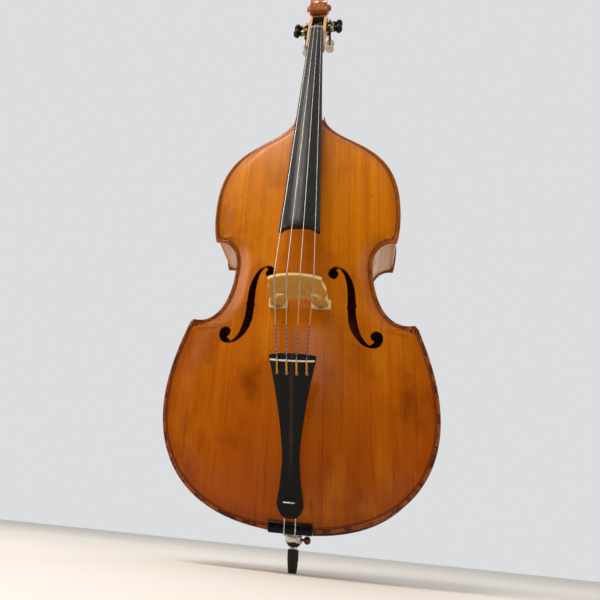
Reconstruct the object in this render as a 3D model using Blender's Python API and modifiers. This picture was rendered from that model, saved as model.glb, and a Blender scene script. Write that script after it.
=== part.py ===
"""Double bass, three-quarter size, built as an assembly of separate pieces.

Metres, +Z up.  The origin is the middle of the rubber tip's underside, on the endpin's axis.
The front (belly) faces -Y, the back faces +Y, and the bass strings are on the -X side.

Inside the script a place on the body is given as x, y, z, with y counted from the plane of the
belly's edge towards the back and z from the body's lower edge.  at() turns it into the world.
"""
import math

import bmesh
import bpy
from mathutils import Matrix, Vector

# ---------------------------------------------------------------- driving dimensions
BODY_LENGTH = 1.100
BODY_DEPTH = 0.190                      # from the belly's edge plane to the back's edge plane
BODY_BOTTOM = 0.078                     # height of the body's lower edge above the floor
FRONT = -BODY_DEPTH / 2                 # world y of the belly's edge plane
GAP = 0.0003                            # between pieces that touch

PLATE = 0.0065                          # thickness of belly and back
OVERHANG = 0.005                        # the plates' edges stand past the ribs
RIB = 0.003
BELLY_ARCH = 0.030
BACK_ARCH = 0.034
SIDE = OVERHANG + RIB + GAP             # from the outline to the inside of the ribs

BRIDGE_Z = 0.502
BRIDGE_TOP = 0.2130                     # height of the bridge's crown above the edge plane
BRIDGE_RADIUS = 0.089                   # of the curve that the strings lie on
BRIDGE_FOOT_X = 0.052
WHEEL_RADIUS = 0.015
WHEEL_THICKNESS = 0.005
FOOT_TOP = 0.0425

NECK_ANGLE = math.radians(13.3)         # the fingerboard's glue plane leans back from upright
PEG_ANGLE = math.radians(25.0)          # the pegbox leans back further
NUT = (0.0772, 1.5244)                  # y and z of the glue plane at the nut
BOARD_LENGTH = 0.905
BOARD_EDGE = 0.010
BOARD_RADIUS = 0.066
BOARD_HALF_NUT = 0.0215
BOARD_HALF_END = 0.0495
NUT_LENGTH = 0.010
NUT_RISE = 0.0022                       # the nut stands this much over the board

TAIL_THICKNESS = 0.016
TAIL_END_THICKNESS = 0.010
TAIL_RISE = 0.020                       # where the tailpiece's line would meet the lower edge
TAIL_FRET_Z = 0.3295
TAIL_HOLE_Z = 0.304
TAIL_RADIUS = 0.075
WIRE_RADIUS = 0.0015
WIRE_HALF = 0.0117
SADDLE_HALF = 0.047
SADDLE_TOP = 0.019

STRINGS = (                             # name, radius, place in the row of four, machine
    ("string_e", 0.0013, -1.5, 0),
    ("string_a", 0.0011, -0.5, 2),
    ("string_d", 0.0009, 0.5, 3),
    ("string_g", 0.0007, 1.5, 1),
)
STRING_STEP_BRIDGE = 0.0291
STRING_STEP_NUT = 0.0110
STRING_STEP_TAIL = 0.0210

MACHINES = (                            # side, distance from the nut along the pegbox
    (-1, 0.062), (1, 0.088), (-1, 0.114), (1, 0.140),
)
PEG_DEPTH = 0.026                       # of the string rollers under the pegbox's front
PEG_RADIUS = 0.007
CHEEK_X = 0.030                         # outside of the pegbox's cheeks
PEGBOX_SLOT = 0.020
GEAR_TEETH = 16
GEAR_OUTER = 0.016
GEAR_ROOT = 0.0132
GEAR_X = 0.0395
GEAR_WIDTH = 0.008
BOSS_SIDES = 12
WORM_OUTER = 0.0066
WORM_ROOT = 0.0040
WORM_SHAFT = 0.0030
THREAD_STEPS = 10                       # per turn
WORM_CENTRES = GEAR_OUTER + WORM_ROOT + 0.0004
WORM_PITCH = 2 * math.pi * 0.0148 / GEAR_TEETH
KEY_DEPTH = 0.062
KEY_RADIUS = 0.015

ROD_RADIUS = 0.005
ROD_TOP = 0.420
COLLAR_RADIUS = 0.019
GROOVE_RADIUS = 0.0155
SCREW_Z = 0.0715

# ---------------------------------------------------------------- scene and materials
for old in list(bpy.data.objects):
    bpy.data.objects.remove(old, do_unlink=True)

PARTS = bpy.data.collections.new("double_bass")
CUTTERS = bpy.data.collections.new("cutters")
bpy.context.scene.collection.children.link(PARTS)
bpy.context.scene.collection.children.link(CUTTERS)


def linear(channel):
    """One sRGB channel from 0 to 1, as linear light."""
    return channel / 12.92 if channel <= 0.04045 else ((channel + 0.055) / 1.055) ** 2.4


def material(name, colour, roughness, metallic=0.0):
    """A plain Principled material from an sRGB hex colour."""
    mat = bpy.data.materials.new(name)
    mat.use_nodes = True
    shader = mat.node_tree.nodes["Principled BSDF"]
    rgb = [linear(int(colour[i:i + 2], 16) / 255) for i in (0, 2, 4)]
    shader.inputs["Base Color"].default_value = (*rgb, 1)
    shader.inputs["Roughness"].default_value = roughness
    shader.inputs["Metallic"].default_value = metallic
    return mat


SPRUCE = material("amber_spruce", "B5651D", 0.35)
MAPLE = material("varnished_maple", "A8642C", 0.35)
PALE_WOOD = material("bare_wood", "D8B98A", 0.6)
BRIDGE_WOOD = material("bridge_maple", "C79A4B", 0.55)
EBONY = material("ebony", "1E1C1B", 0.4)
BRASS = material("brass", "B59A5B", 0.35, 1.0)
BRONZE = material("dark_bronze", "3A2C26", 0.45, 1.0)
NICKEL = material("nickel_silver", "C9C2B0", 0.3, 1.0)
STEEL = material("steel", "B8B8B8", 0.3, 1.0)
ALUMINIUM = material("aluminium", "9A9C9E", 0.35, 1.0)
RUBBER = material("rubber", "17181A", 0.8)
WHITE = material("white_fret", "E9E4D2", 0.4)
KNOB_BROWN = material("brown_knob", "4A1F12", 0.45)


# ---------------------------------------------------------------- small modelling helpers
def at(x, y, z):
    """A place on the body, as a world point."""
    return Vector((x, y + FRONT, z + BODY_BOTTOM))


def place(name, mesh, mat, collection=None):
    """A new object in the model from a mesh, with one material."""
    mesh.name = name
    mesh.materials.clear()
    if mat is not None:
        mesh.materials.append(mat)
        mesh.shade_smooth()
        mesh.set_sharp_from_angle(angle=math.radians(35))
    obj = bpy.data.objects.new(name, mesh)
    (collection or PARTS).objects.link(obj)
    return obj


def as_mesh(bm):
    """Close a bmesh: weld, face outwards, and give back a mesh."""
    bmesh.ops.remove_doubles(bm, verts=bm.verts, dist=1e-6)
    bmesh.ops.recalc_face_normals(bm, faces=bm.faces)
    mesh = bpy.data.meshes.new("shape")
    bm.to_mesh(mesh)
    bm.free()
    return mesh


def loft(rings):
    """A closed solid through rings of points, all with the same count."""
    bm = bmesh.new()
    rows = [[bm.verts.new(p) for p in ring] for ring in rings]
    count = len(rows[0])
    for low, high in zip(rows, rows[1:]):
        for i in range(count):
            j = (i + 1) % count
            bm.faces.new((low[i], low[j], high[j], high[i]))
    bm.faces.new(list(reversed(rows[0])))
    bm.faces.new(rows[-1])
    bmesh.ops.triangulate(bm, faces=[f for f in bm.faces if len(f.verts) > 4])
    return as_mesh(bm)


def flat_solid(loops, thickness, matrix):
    """A flat outline with its holes, thickness centred on the matrix's XY plane."""
    curve = bpy.data.curves.new("flat", "CURVE")
    curve.dimensions = "2D"
    curve.fill_mode = "BOTH"
    curve.extrude = thickness / 2
    for loop in loops:
        spline = curve.splines.new("POLY")
        spline.points.add(len(loop) - 1)
        for point, (a, b) in zip(spline.points, loop):
            point.co = (a, b, 0, 1)
        spline.use_cyclic_u = True
    return curve_solid(curve, matrix)


def curve_solid(curve, matrix=None):
    """A curve as a welded mesh, moved by the matrix."""
    obj = bpy.data.objects.new("curve", curve)
    CUTTERS.objects.link(obj)
    depsgraph = bpy.context.evaluated_depsgraph_get()
    mesh = bpy.data.meshes.new_from_object(obj.evaluated_get(depsgraph))
    bpy.data.objects.remove(obj, do_unlink=True)
    bm = bmesh.new()
    bm.from_mesh(mesh)
    bmesh.ops.transform(bm, matrix=matrix or Matrix(), verts=bm.verts)
    return as_mesh(bm)


def tube(points, radius, cyclic=False):
    """A round wire through the points."""
    curve = bpy.data.curves.new("wire", "CURVE")
    curve.dimensions = "3D"
    curve.bevel_depth = radius
    curve.bevel_resolution = 2
    curve.use_fill_caps = True
    spline = curve.splines.new("POLY")
    spline.points.add(len(points) - 1)
    for point, co in zip(spline.points, points):
        point.co = (*co, 1)
    spline.use_cyclic_u = cyclic
    return curve_solid(curve)


def frame_matrix(origin, x_axis, y_axis):
    """The matrix whose local X and Y run along the given world directions."""
    x_axis = Vector(x_axis).normalized()
    z_axis = x_axis.cross(Vector(y_axis)).normalized()
    y_axis = z_axis.cross(x_axis)
    matrix = Matrix((x_axis, y_axis, z_axis)).transposed().to_4x4()
    matrix.translation = origin
    return matrix


def turned(name, profile, origin, axis, mat, steps=24, collection=None):
    """A turned piece: (radius, height) pairs from top to bottom, spun about the axis."""
    mesh = bpy.data.meshes.new(name)
    bm = bmesh.new()
    verts = [bm.verts.new((radius, 0, height)) for radius, height in profile]
    for a, b in zip(verts, verts[1:]):
        bm.edges.new((a, b))
    if profile[0][0] > 0:
        bm.edges.new((verts[-1], verts[0]))
    bm.to_mesh(mesh)
    bm.free()
    obj = place(name, mesh, mat, collection)
    screw = obj.modifiers.new("spin", "SCREW")
    screw.steps = screw.render_steps = steps
    screw.use_merge_vertices = True
    screw.merge_threshold = 0.00005
    screw.use_normal_calculate = False
    axis = Vector(axis).normalized()
    obj.matrix_world = Matrix.Translation(origin) @ axis.to_track_quat("Z", "Y").to_matrix().to_4x4()
    return obj


def cylinder(origin, axis, radius, low, high, sides=20):
    """A plain cylinder along the axis from low to high, as a mesh."""
    bm = bmesh.new()
    axis = Vector(axis).normalized()
    middle = Vector(origin) + axis * (low + high) / 2
    matrix = Matrix.Translation(middle) @ axis.to_track_quat("Z", "Y").to_matrix().to_4x4()
    bmesh.ops.create_cone(bm, cap_ends=True, segments=sides, radius1=radius, radius2=radius,
                          depth=high - low, matrix=matrix)
    return as_mesh(bm)


def block(matrix, low, high):
    """A box between two corners in the matrix's own axes, as a mesh."""
    bm = bmesh.new()
    bmesh.ops.create_cube(bm, size=1.0)
    low, high = Vector(low), Vector(high)
    for vert in bm.verts:
        vert.co = Vector((low[i] + (vert.co[i] + 0.5) * (high[i] - low[i]) for i in range(3)))
    bmesh.ops.transform(bm, matrix=matrix, verts=bm.verts)
    return as_mesh(bm)


def boolean(obj, mesh, operation="DIFFERENCE", solver="EXACT"):
    """Cut or join obj with a mesh, as a Boolean that stays on the object."""
    cutter = place(f"{obj.name}_tool", mesh, None, CUTTERS)
    cutter.hide_render = True
    cutter.display_type = "WIRE"
    modifier = obj.modifiers.new("cut", "BOOLEAN")
    modifier.operation = operation
    modifier.solver = solver
    modifier.object = cutter
    return obj


# ---------------------------------------------------------------- the outline
# One half of the outline, from the lower end's middle to the neck, as cubic curves.
# Each entry: start, two handles, end, number of steps, and where its end aims on the centre line.
OUTLINE = (
    ((0.000, 0.000), (0.243, 0.000), (0.319, 0.135), (0.319, 0.266), 8, 0.260),
    ((0.319, 0.266), (0.319, 0.341), (0.296, 0.411), (0.280, 0.459), 5, 0.400),
    ((0.280, 0.459), (0.278, 0.462), (0.275, 0.466), (0.273, 0.468), 1, 0.405),
    ((0.273, 0.468), (0.193, 0.454), (0.175, 0.558), (0.175, 0.619), 7, 0.610),
    ((0.175, 0.619), (0.175, 0.656), (0.196, 0.693), (0.236, 0.688), 5, 0.735),
    ((0.236, 0.688), (0.237, 0.691), (0.238, 0.694), (0.239, 0.697), 1, 0.740),
    ((0.239, 0.697), (0.247, 0.731), (0.248, 0.759), (0.248, 0.791), 3, 0.800),
    ((0.248, 0.791), (0.248, 0.914), (0.200, 0.964), (0.136, 1.004), 5, 0.970),
    ((0.136, 1.004), (0.106, 1.023), (0.043, 1.056), (0.043, 1.100), 4, 0.985),
)
SPINE_LOW = 0.120                       # where the centre line of the arching starts


def bezier(p0, p1, p2, p3, t):
    """A point on a cubic curve."""
    s = 1 - t
    weights = (s ** 3, 3 * s * s * t, 3 * s * t * t, t ** 3)
    return tuple(sum(w * p[i] for w, p in zip(weights, (p0, p1, p2, p3))) for i in (0, 1))


def half_outline(first=0, last=len(OUTLINE), density=1):
    """Points (x, z, centre-line z) up one side of the outline."""
    points = []
    aim = OUTLINE[first - 1][5] if first else SPINE_LOW
    for p0, p1, p2, p3, steps, end_aim in OUTLINE[first:last]:
        steps *= density
        for i in range(steps):
            t = i / steps
            points.append((*bezier(p0, p1, p2, p3, t), aim + (end_aim - aim) * t))
        aim = end_aim
    points.append((*OUTLINE[last - 1][3], aim))
    return points


def inset(points, distance):
    """Points (x, z) of one side's outline, moved into the body by distance."""
    moved = []
    for i, (x, z) in enumerate(points):
        before = points[max(i - 1, 0)]
        after = points[min(i + 1, len(points) - 1)]
        tangent = Vector((after[0] - before[0], after[1] - before[1])).normalized()
        moved.append((x - tangent.y * distance, z + tangent.x * distance))
    return moved


def smooth(value):
    """0 below 0, 1 above 1, and an S curve between."""
    value = min(max(value, 0.0), 1.0)
    return value * value * (3 - 2 * value)


def arch(x, z, height):
    """How high the arching of a plate stands over its edge, away from the edge itself."""
    width = 0.330 - 0.135 * smooth((z - 0.30) / 0.28) + 0.065 * smooth((z - 0.62) / 0.20)
    across = max(1 - (x / width) ** 2, 0.0)
    along = 1 - abs((z - 0.53) / 0.58) ** 3
    return height * across * along


# ---------------------------------------------------------------- belly and back
RINGS = (0.0, 0.06, 0.16, 0.34, 0.62, 1.0)
EDGE_FADE = 0.25                        # the arching reaches its full height by here


def plate_mesh(height, outwards, button):
    """An arched plate: rings from the outline to the centre line, outside and inside."""
    side = half_outline()
    if button:
        for angle in (0, 30, 60, 90):
            turn = math.radians(angle)
            side.append((0.026 * math.cos(turn), BODY_LENGTH + 0.028 * math.sin(turn), 0.985))
    else:
        side.append((0.0, BODY_LENGTH, 0.985))
    loop = side + [(-x, z, aim) for x, z, aim in side[-2:0:-1]]
    edge_y = 0.0 if outwards < 0 else BODY_DEPTH
    bm = bmesh.new()

    def skin(depth):
        rows = []
        for t in RINGS:
            row = []
            for x, z, aim in loop:
                px, pz = x * (1 - t), z + (aim - z) * t
                rise = arch(px, pz, height) * smooth(t / EDGE_FADE)
                row.append(bm.verts.new(at(px, edge_y + outwards * (rise - depth), pz)))
            rows.append(row)
        return rows

    outer, inner = skin(0.0), skin(PLATE)
    count = len(loop)
    for rows in (outer, inner):
        for low, high in zip(rows, rows[1:]):
            for i in range(count):
                j = (i + 1) % count
                bm.faces.new((low[i], low[j], high[j], high[i]))
    for i in range(count):
        j = (i + 1) % count
        bm.faces.new((outer[0][i], outer[0][j], inner[0][j], inner[0][i]))
    bmesh.ops.remove_doubles(bm, verts=bm.verts, dist=1e-6)
    bmesh.ops.triangulate(bm, faces=bm.faces)
    bmesh.ops.dissolve_degenerate(bm, edges=bm.edges, dist=1e-7)
    return as_mesh(bm)


# The right-hand sound hole: (x, z) round the hole, with a wing tip or nick where it says so.
SOUND_HOLE = (
    (0.085, 0.609, 0), (0.107, 0.601, 0), (0.124, 0.575, 0), (0.132, 0.544, 0), (0.134, 0.512, 1),
    (0.137, 0.507, 1), (0.134, 0.501, 1), (0.136, 0.472, 0), (0.145, 0.435, 0), (0.158, 0.415, 0),
    (0.166, 0.409, 1), (0.179, 0.420, 1), (0.168, 0.433, 0), (0.180, 0.446, 0), (0.197, 0.430, 0),
    (0.190, 0.409, 0), (0.172, 0.402, 0), (0.149, 0.409, 0), (0.128, 0.432, 0), (0.117, 0.460, 0),
    (0.114, 0.498, 1), (0.111, 0.502, 1), (0.114, 0.506, 1), (0.113, 0.547, 0), (0.106, 0.585, 0),
    (0.092, 0.604, 1), (0.083, 0.596, 1), (0.090, 0.584, 0), (0.079, 0.573, 0), (0.066, 0.588, 0),
    (0.072, 0.603, 0),
)


def rounded_loop(anchors, steps):
    """A closed outline through the anchors: smooth where the flag is 0, sharp where it is 1."""
    count = len(anchors)
    points = []
    for i, (x1, z1, sharp1) in enumerate(anchors):
        x0, z0, _ = anchors[i - 1]
        x2, z2, sharp2 = anchors[(i + 1) % count]
        x3, z3, _ = anchors[(i + 2) % count]
        points.append((x1, z1))
        if sharp1 and sharp2:
            continue
        out_x, out_z = (0, 0) if sharp1 else ((x2 - x0) / 6, (z2 - z0) / 6)
        in_x, in_z = (0, 0) if sharp2 else ((x3 - x1) / 6, (z3 - z1) / 6)
        for k in range(1, steps):
            points.append(bezier((x1, z1), (x1 + out_x, z1 + out_z),
                                 (x2 - in_x, z2 - in_z), (x2, z2), k / steps))
    return points


def sound_hole(side):
    """The cutter of one sound hole."""
    loop = [(side * x, z) for x, z in rounded_loop(SOUND_HOLE, 2)]
    matrix = frame_matrix(at(0, 0, 0), (1, 0, 0), (0, 0, 1))
    return flat_solid([loop], 0.160, matrix)


# ---------------------------------------------------------------- the neck's own frame
def neck_point(x, t, rise):
    """A point t down the neck from the nut and rise over the glue plane."""
    y = NUT[0] - math.sin(NECK_ANGLE) * t - math.cos(NECK_ANGLE) * rise
    z = NUT[1] - math.cos(NECK_ANGLE) * t + math.sin(NECK_ANGLE) * rise
    return at(x, y, z)


def peg_point(x, s, depth):
    """A point s up the pegbox from the nut and depth behind its front plane."""
    y = NUT[0] + math.sin(PEG_ANGLE) * s + math.cos(PEG_ANGLE) * depth
    z = NUT[1] + math.cos(PEG_ANGLE) * s - math.sin(PEG_ANGLE) * depth
    return at(x, y, z)


PEG_UP = Vector((0, math.sin(PEG_ANGLE), math.cos(PEG_ANGLE)))
PEG_BACK = Vector((0, math.cos(PEG_ANGLE), -math.sin(PEG_ANGLE)))
RIGHT = Vector((1, 0, 0))


def board_half(t):
    """Half the fingerboard's width, t down from the nut."""
    return BOARD_HALF_NUT + (BOARD_HALF_END - BOARD_HALF_NUT) * t / BOARD_LENGTH


def crown(x, half, radius):
    """Height of a crowned surface at x, over its own edges at +-half."""
    return math.sqrt(radius ** 2 - x ** 2) - math.sqrt(radius ** 2 - half ** 2)


def u_section(front_left, back, half, power=2.6, sides=6):
    """A U-shaped ring: flat across the front, round at the back.  Points are (x, vector)."""
    ring = []
    for i in range(-sides, sides + 1):
        turn = math.pi / 2 * i / sides
        across = math.copysign(abs(math.sin(turn)) ** (2 / power), turn)
        depth = math.cos(turn) ** (2 / power)
        point = front_left + (back - front_left) * depth
        ring.append(Vector((half * across, point.y, point.z)))
    return ring


def heel_stations():
    """Front and back points of the neck from the shoulder down to the heel's foot."""
    body_t = (NUT[1] - BODY_LENGTH) / math.cos(NECK_ANGLE)
    stations = []
    for t, depth in ((0.0855, 0.026), (0.20, 0.029), (0.31, 0.034)):
        stations.append((neck_point(0, t, 0), neck_point(0, t, -depth), board_half(t)))
    start = neck_point(0, 0.31, -0.034)
    end = at(0, BODY_DEPTH - PLATE - GAP, BODY_LENGTH + 0.030)
    for i in range(1, 6):
        t = 0.31 + (body_t - 0.010 - 0.31) * i / 5
        y, z = bezier((start.y, start.z), (start.y - 0.014, start.z - 0.070),
                      (end.y - 0.075, end.z + 0.004), (end.y, end.z), i / 5)
        stations.append((neck_point(0, t, 0), Vector((0, y, z)), board_half(t)))
    return stations


def neck_root(clearance):
    """Rings of the heel's foot, which sits in a mortise in the neck block."""
    half = board_half((NUT[1] - BODY_LENGTH) / math.cos(NECK_ANGLE)) - 0.002 + clearance
    front = -0.0200 - clearance
    back = BODY_DEPTH - PLATE - GAP + clearance
    low = BODY_LENGTH - 0.020 - clearance
    rings = []
    for z in (BODY_LENGTH + 0.003, low):
        rings.append(u_section(at(0, front, z), at(0, back, z), half))
    return rings


def make_neck():
    """Neck, heel, pegbox and scroll, one carved piece of maple."""
    rings = []
    for s, width, depth in ((0.150, 0.0275, 0.058), (0.110, 0.0285, 0.060), (0.060, 0.030, 0.064),
                            (0.010, 0.030, 0.068)):
        rings.append(u_section(peg_point(0, s, 0), peg_point(0, s, depth), width, 5))
    for t in (0.010, 0.085):
        rings.append(u_section(neck_point(0, t, -0.002), neck_point(0, t, -0.066 + 0.3 * t), 0.031, 5))
    for front, back, half in heel_stations():
        rings.append(u_section(front, back, half))
    rings += neck_root(0.0)
    neck = place("neck", loft(rings), MAPLE)

    # The scroll, as a spiral cheek with a wider turn and the eye inside it.
    eye = peg_point(0, 0.1865, -0.0155)
    side_plane = frame_matrix(eye, PEG_UP, PEG_BACK)
    spiral = []
    for i in range(19):
        turn = math.radians(-150 + 15 * i)
        radius = 0.028 + 0.028 * i / 18
        spiral.append((radius * math.cos(turn), radius * math.sin(turn)))
    spiral += [(-0.060, 0.0700), (-0.060, 0.020)]
    boolean(neck, flat_solid([spiral], 0.0520, side_plane), "UNION")
    for radius, half in ((0.0270, 0.0350), (0.0150, 0.0438)):
        boolean(neck, cylinder(eye, RIGHT, radius, -half, half, 20), "UNION", "MANIFOLD")

    # The open pegbox and the holes for the pegs.
    slot = frame_matrix(peg_point(0, 0, 0), RIGHT, PEG_UP)
    carved = "DIFFERENCE", "MANIFOLD"
    boolean(neck, block(slot, (-PEGBOX_SLOT, 0.014, -0.046), (PEGBOX_SLOT, 0.152, 0.030)), *carved)
    for side, s in MACHINES:
        axis_point = peg_point(0, s, PEG_DEPTH)
        boolean(neck, cylinder(axis_point, RIGHT, PEG_RADIUS + 0.0004, -0.05, 0.05, 12), *carved)
    return neck


def make_fingerboard():
    """The ebony board, crowned on top and flat below."""
    rings = []
    for t in (0.0, 0.45, BOARD_LENGTH):
        half = board_half(t)
        ring = [neck_point(-half, t, GAP), neck_point(half, t, GAP)]
        for i in range(9):
            x = half * (1 - i / 4)
            ring.append(neck_point(x, t, BOARD_EDGE + crown(x, half, BOARD_RADIUS)))
        rings.append(ring)
    place("fingerboard", loft(rings), EBONY)


def nut_top(x):
    """Height of the nut's crown over the glue plane."""
    return BOARD_EDGE + crown(x, BOARD_HALF_NUT, BOARD_RADIUS) + NUT_RISE


def make_nut():
    """The ebony nut at the head of the board."""
    rings = []
    for t in (-GAP, -GAP - NUT_LENGTH):
        ring = [neck_point(-BOARD_HALF_NUT, t, 0.0010), neck_point(BOARD_HALF_NUT, t, 0.0010)]
        for i in range(9):
            x = BOARD_HALF_NUT * (1 - i / 4)
            ring.append(neck_point(x, t, nut_top(x)))
        rings.append(ring)
    place("nut", loft(rings), EBONY)


# ---------------------------------------------------------------- ribs and inside of the body
RIB_LOW = PLATE + GAP
RIB_HIGH = BODY_DEPTH - PLATE - GAP
RIB_SPANS = (                           # name, outline curves, trims at the two ends
    ("lower", 0, 2, 0.0, 0.012),
    ("waist", 3, 5, 0.016, 0.016),
    ("upper", 6, 9, 0.012, 0.006),
)
SIDES = (("bass", -1), ("treble", 1))


def trimmed(points, start, end):
    """A run of points, shortened by start and end along its length."""
    for cut in (start, end):
        points = points[:]
        while cut > 0:
            first, second = Vector(points[0]), Vector(points[1])
            step = (second - first).length
            if step > cut:
                points[0] = tuple(first + (second - first) * cut / step)
                break
            cut -= step
            points.pop(0)
        points.reverse()
    return points


def make_ribs():
    """Six ribs: strips bent round the outline, thickened inwards."""
    for side_name, side in SIDES:
        for name, first, last, start, end in RIB_SPANS:
            outline = [p[:2] for p in half_outline(first, last)]
            run = trimmed(inset(outline, OVERHANG), start, end)
            run[0] = (max(run[0][0], 2 * GAP), run[0][1])
            bm = bmesh.new()
            front = [bm.verts.new(at(side * x, RIB_LOW, z)) for x, z in run]
            back = [bm.verts.new(at(side * x, RIB_HIGH, z)) for x, z in run]
            for i in range(len(run) - 1):
                quad = [front[i], back[i], back[i + 1], front[i + 1]]
                bm.faces.new(quad if side > 0 else quad[::-1])
            mesh = bpy.data.meshes.new(name)
            bm.to_mesh(mesh)
            bm.free()
            rib = place(f"rib_{name}_{side_name}", mesh, MAPLE)
            solidify = rib.modifiers.new("thickness", "SOLIDIFY")
            solidify.thickness = RIB
            if name == "lower":
                boolean(rib, cylinder(at(0, BODY_DEPTH / 2, 0), (0, 0, 1), 0.0156, -0.03, 0.03, 24))


def upright(loop, name, mat):
    """A block between belly and back with the outline given as (x, z)."""
    middle = (RIB_LOW + RIB_HIGH) / 2
    matrix = frame_matrix(at(0, middle, 0), (1, 0, 0), (0, 0, 1))
    return place(name, flat_solid([loop], RIB_HIGH - RIB_LOW, matrix), mat)


def crossing(first, second):
    """Where two runs of points cross: the point and its place in each run."""
    for i, (a, b) in enumerate(zip(first, first[1:])):
        for j, (c, d) in enumerate(zip(second, second[1:])):
            r = (b[0] - a[0], b[1] - a[1])
            s = (d[0] - c[0], d[1] - c[1])
            cross = r[0] * s[1] - r[1] * s[0]
            if abs(cross) < 1e-12:
                continue
            t = ((c[0] - a[0]) * s[1] - (c[1] - a[1]) * s[0]) / cross
            u = ((c[0] - a[0]) * r[1] - (c[1] - a[1]) * r[0]) / cross
            if 0 <= t <= 1 and 0 <= u <= 1:
                return (a[0] + r[0] * t, a[1] + r[1] * t), i, j
    return None


def first_part(points, length):
    """The start of a run of points, up to a length along it."""
    kept = points[:1]
    for a, b in zip(points, points[1:]):
        step = (Vector(b) - Vector(a)).length
        if step >= length:
            kept.append(tuple(Vector(a) + (Vector(b) - Vector(a)) * length / step))
            break
        kept.append(b)
        length -= step
    return kept


def corner_loop(bout_first, bout_last, waist_first, waist_last, low):
    """The outline of a corner block between a bout rib and a waist rib."""
    bout = inset([p[:2] for p in half_outline(bout_first, bout_last)], SIDE)
    waist = inset([p[:2] for p in half_outline(waist_first, waist_last)], SIDE)
    if low:
        bout = bout[::-1]
    else:
        waist = waist[::-1]
    for run in (bout, waist):
        start, ahead = Vector(run[0]), Vector(run[1])
        run.insert(0, tuple(start + (start - ahead).normalized() * 0.030))
    tip, i, j = crossing(bout, waist)
    bout_side = first_part([tip] + bout[i + 1:], 0.055)
    waist_side = first_part([tip] + waist[j + 1:], 0.055)
    return bout_side + waist_side[:0:-1]


def make_blocks():
    """Corner blocks, end block and neck block."""
    lower = corner_loop(0, 2, 3, 5, True)
    upper = corner_loop(6, 9, 3, 5, False)
    for side_name, side in SIDES:
        for name, loop in (("lower", lower), ("upper", upper)):
            upright([(side * x, z) for x, z in loop], f"corner_block_{name}_{side_name}", PALE_WOOD)

    foot = first_part(inset([p[:2] for p in half_outline(0, 1)], SIDE), 0.085)
    loop = foot + [(foot[-1][0], 0.055)]
    loop += [(-x, z) for x, z in reversed(loop)][:-1]
    end_block = upright(loop, "end_block", PALE_WOOD)
    boolean(end_block, cylinder(at(0, BODY_DEPTH / 2, 0), (0, 0, 1), 0.0156, -0.03, 0.10, 24))

    head = first_part(inset([p[:2] for p in half_outline(8, 9)], SIDE)[::-1], 0.070)[::-1]
    head[-1] = (head[-1][0], BODY_LENGTH - 0.004)
    loop = [(head[0][0], 1.0)] + head
    loop += [(-x, z) for x, z in reversed(loop)]
    neck_block = upright(loop, "neck_block", PALE_WOOD)
    boolean(neck_block, loft(neck_root(GAP)))


def make_bass_bar_and_post():
    """The bar glued under the belly on the bass side, and the post under the treble foot."""
    rings = []
    for i in range(9):
        z = 0.17 + 0.76 * i / 8
        x = -0.050 + 0.012 * (i / 8 - 0.5)
        top = -arch(x, z, BELLY_ARCH) + PLATE + 0.0026
        depth = 0.010 + 0.022 * math.sin(math.pi * i / 8)
        rings.append([at(x - 0.010, top, z), at(x + 0.010, top, z),
                      at(x + 0.008, top + depth, z), at(x - 0.008, top + depth, z)])
    place("bass_bar", loft(rings), PALE_WOOD)

    x, z = 0.054, BRIDGE_Z - 0.030
    top = -arch(x, z, BELLY_ARCH) + PLATE + 0.0016
    bottom = BODY_DEPTH + arch(x, z, BACK_ARCH) - PLATE - 0.0018
    place("sound_post", cylinder(at(x, 0, z), (0, 1, 0), 0.009, top, bottom, 16), PALE_WOOD)


def make_body():
    """Belly, back, ribs, blocks, bar and post, and the saddle in its notch."""
    belly = place("top_plate", plate_mesh(BELLY_ARCH, -1, False), SPRUCE)
    for _, side in SIDES:
        boolean(belly, sound_hole(side))
    notch = frame_matrix(at(0, 0, 0), (1, 0, 0), (0, 1, 0))
    low, high = (-SADDLE_HALF, -0.0125, -0.003), (SADDLE_HALF, PLATE, SADDLE_TOP)
    place("saddle", block(notch, low, high), EBONY)
    boolean(belly, block(notch, (low[0] - GAP, -0.03, -0.02), (high[0] + GAP, 0.02, high[2] + GAP)))
    boolean(belly, loft(neck_root(GAP)))
    place("back_plate", plate_mesh(BACK_ARCH, 1, True), MAPLE)
    make_ribs()
    make_blocks()
    make_bass_bar_and_post()


# ---------------------------------------------------------------- bridge
BRIDGE_OUTLINE = (                      # right half, (x, height), from the arch's middle
    (0.000, 0.092, 0), (0.020, 0.085, 0), (0.032, 0.066, 0), (0.0355, 0.0483, 1),
    (0.0690, 0.0483, 1), (0.0680, 0.072, 0), (0.0640, 0.094, 0), (0.0675, 0.112, 0),
    (0.0660, 0.135, 0), (0.0600, 0.165, 0), (0.0595, 0.190, 1),
)
KIDNEY = (
    (0.030, 0.112, 0), (0.040, 0.119, 0), (0.052, 0.112, 0), (0.056, 0.096, 0), (0.050, 0.090, 0),
    (0.046, 0.100, 0), (0.038, 0.106, 0),
)


def bridge_crown(x):
    """Height of the bridge's top edge."""
    return BRIDGE_TOP - BRIDGE_RADIUS + math.sqrt(BRIDGE_RADIUS ** 2 - x ** 2)


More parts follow.
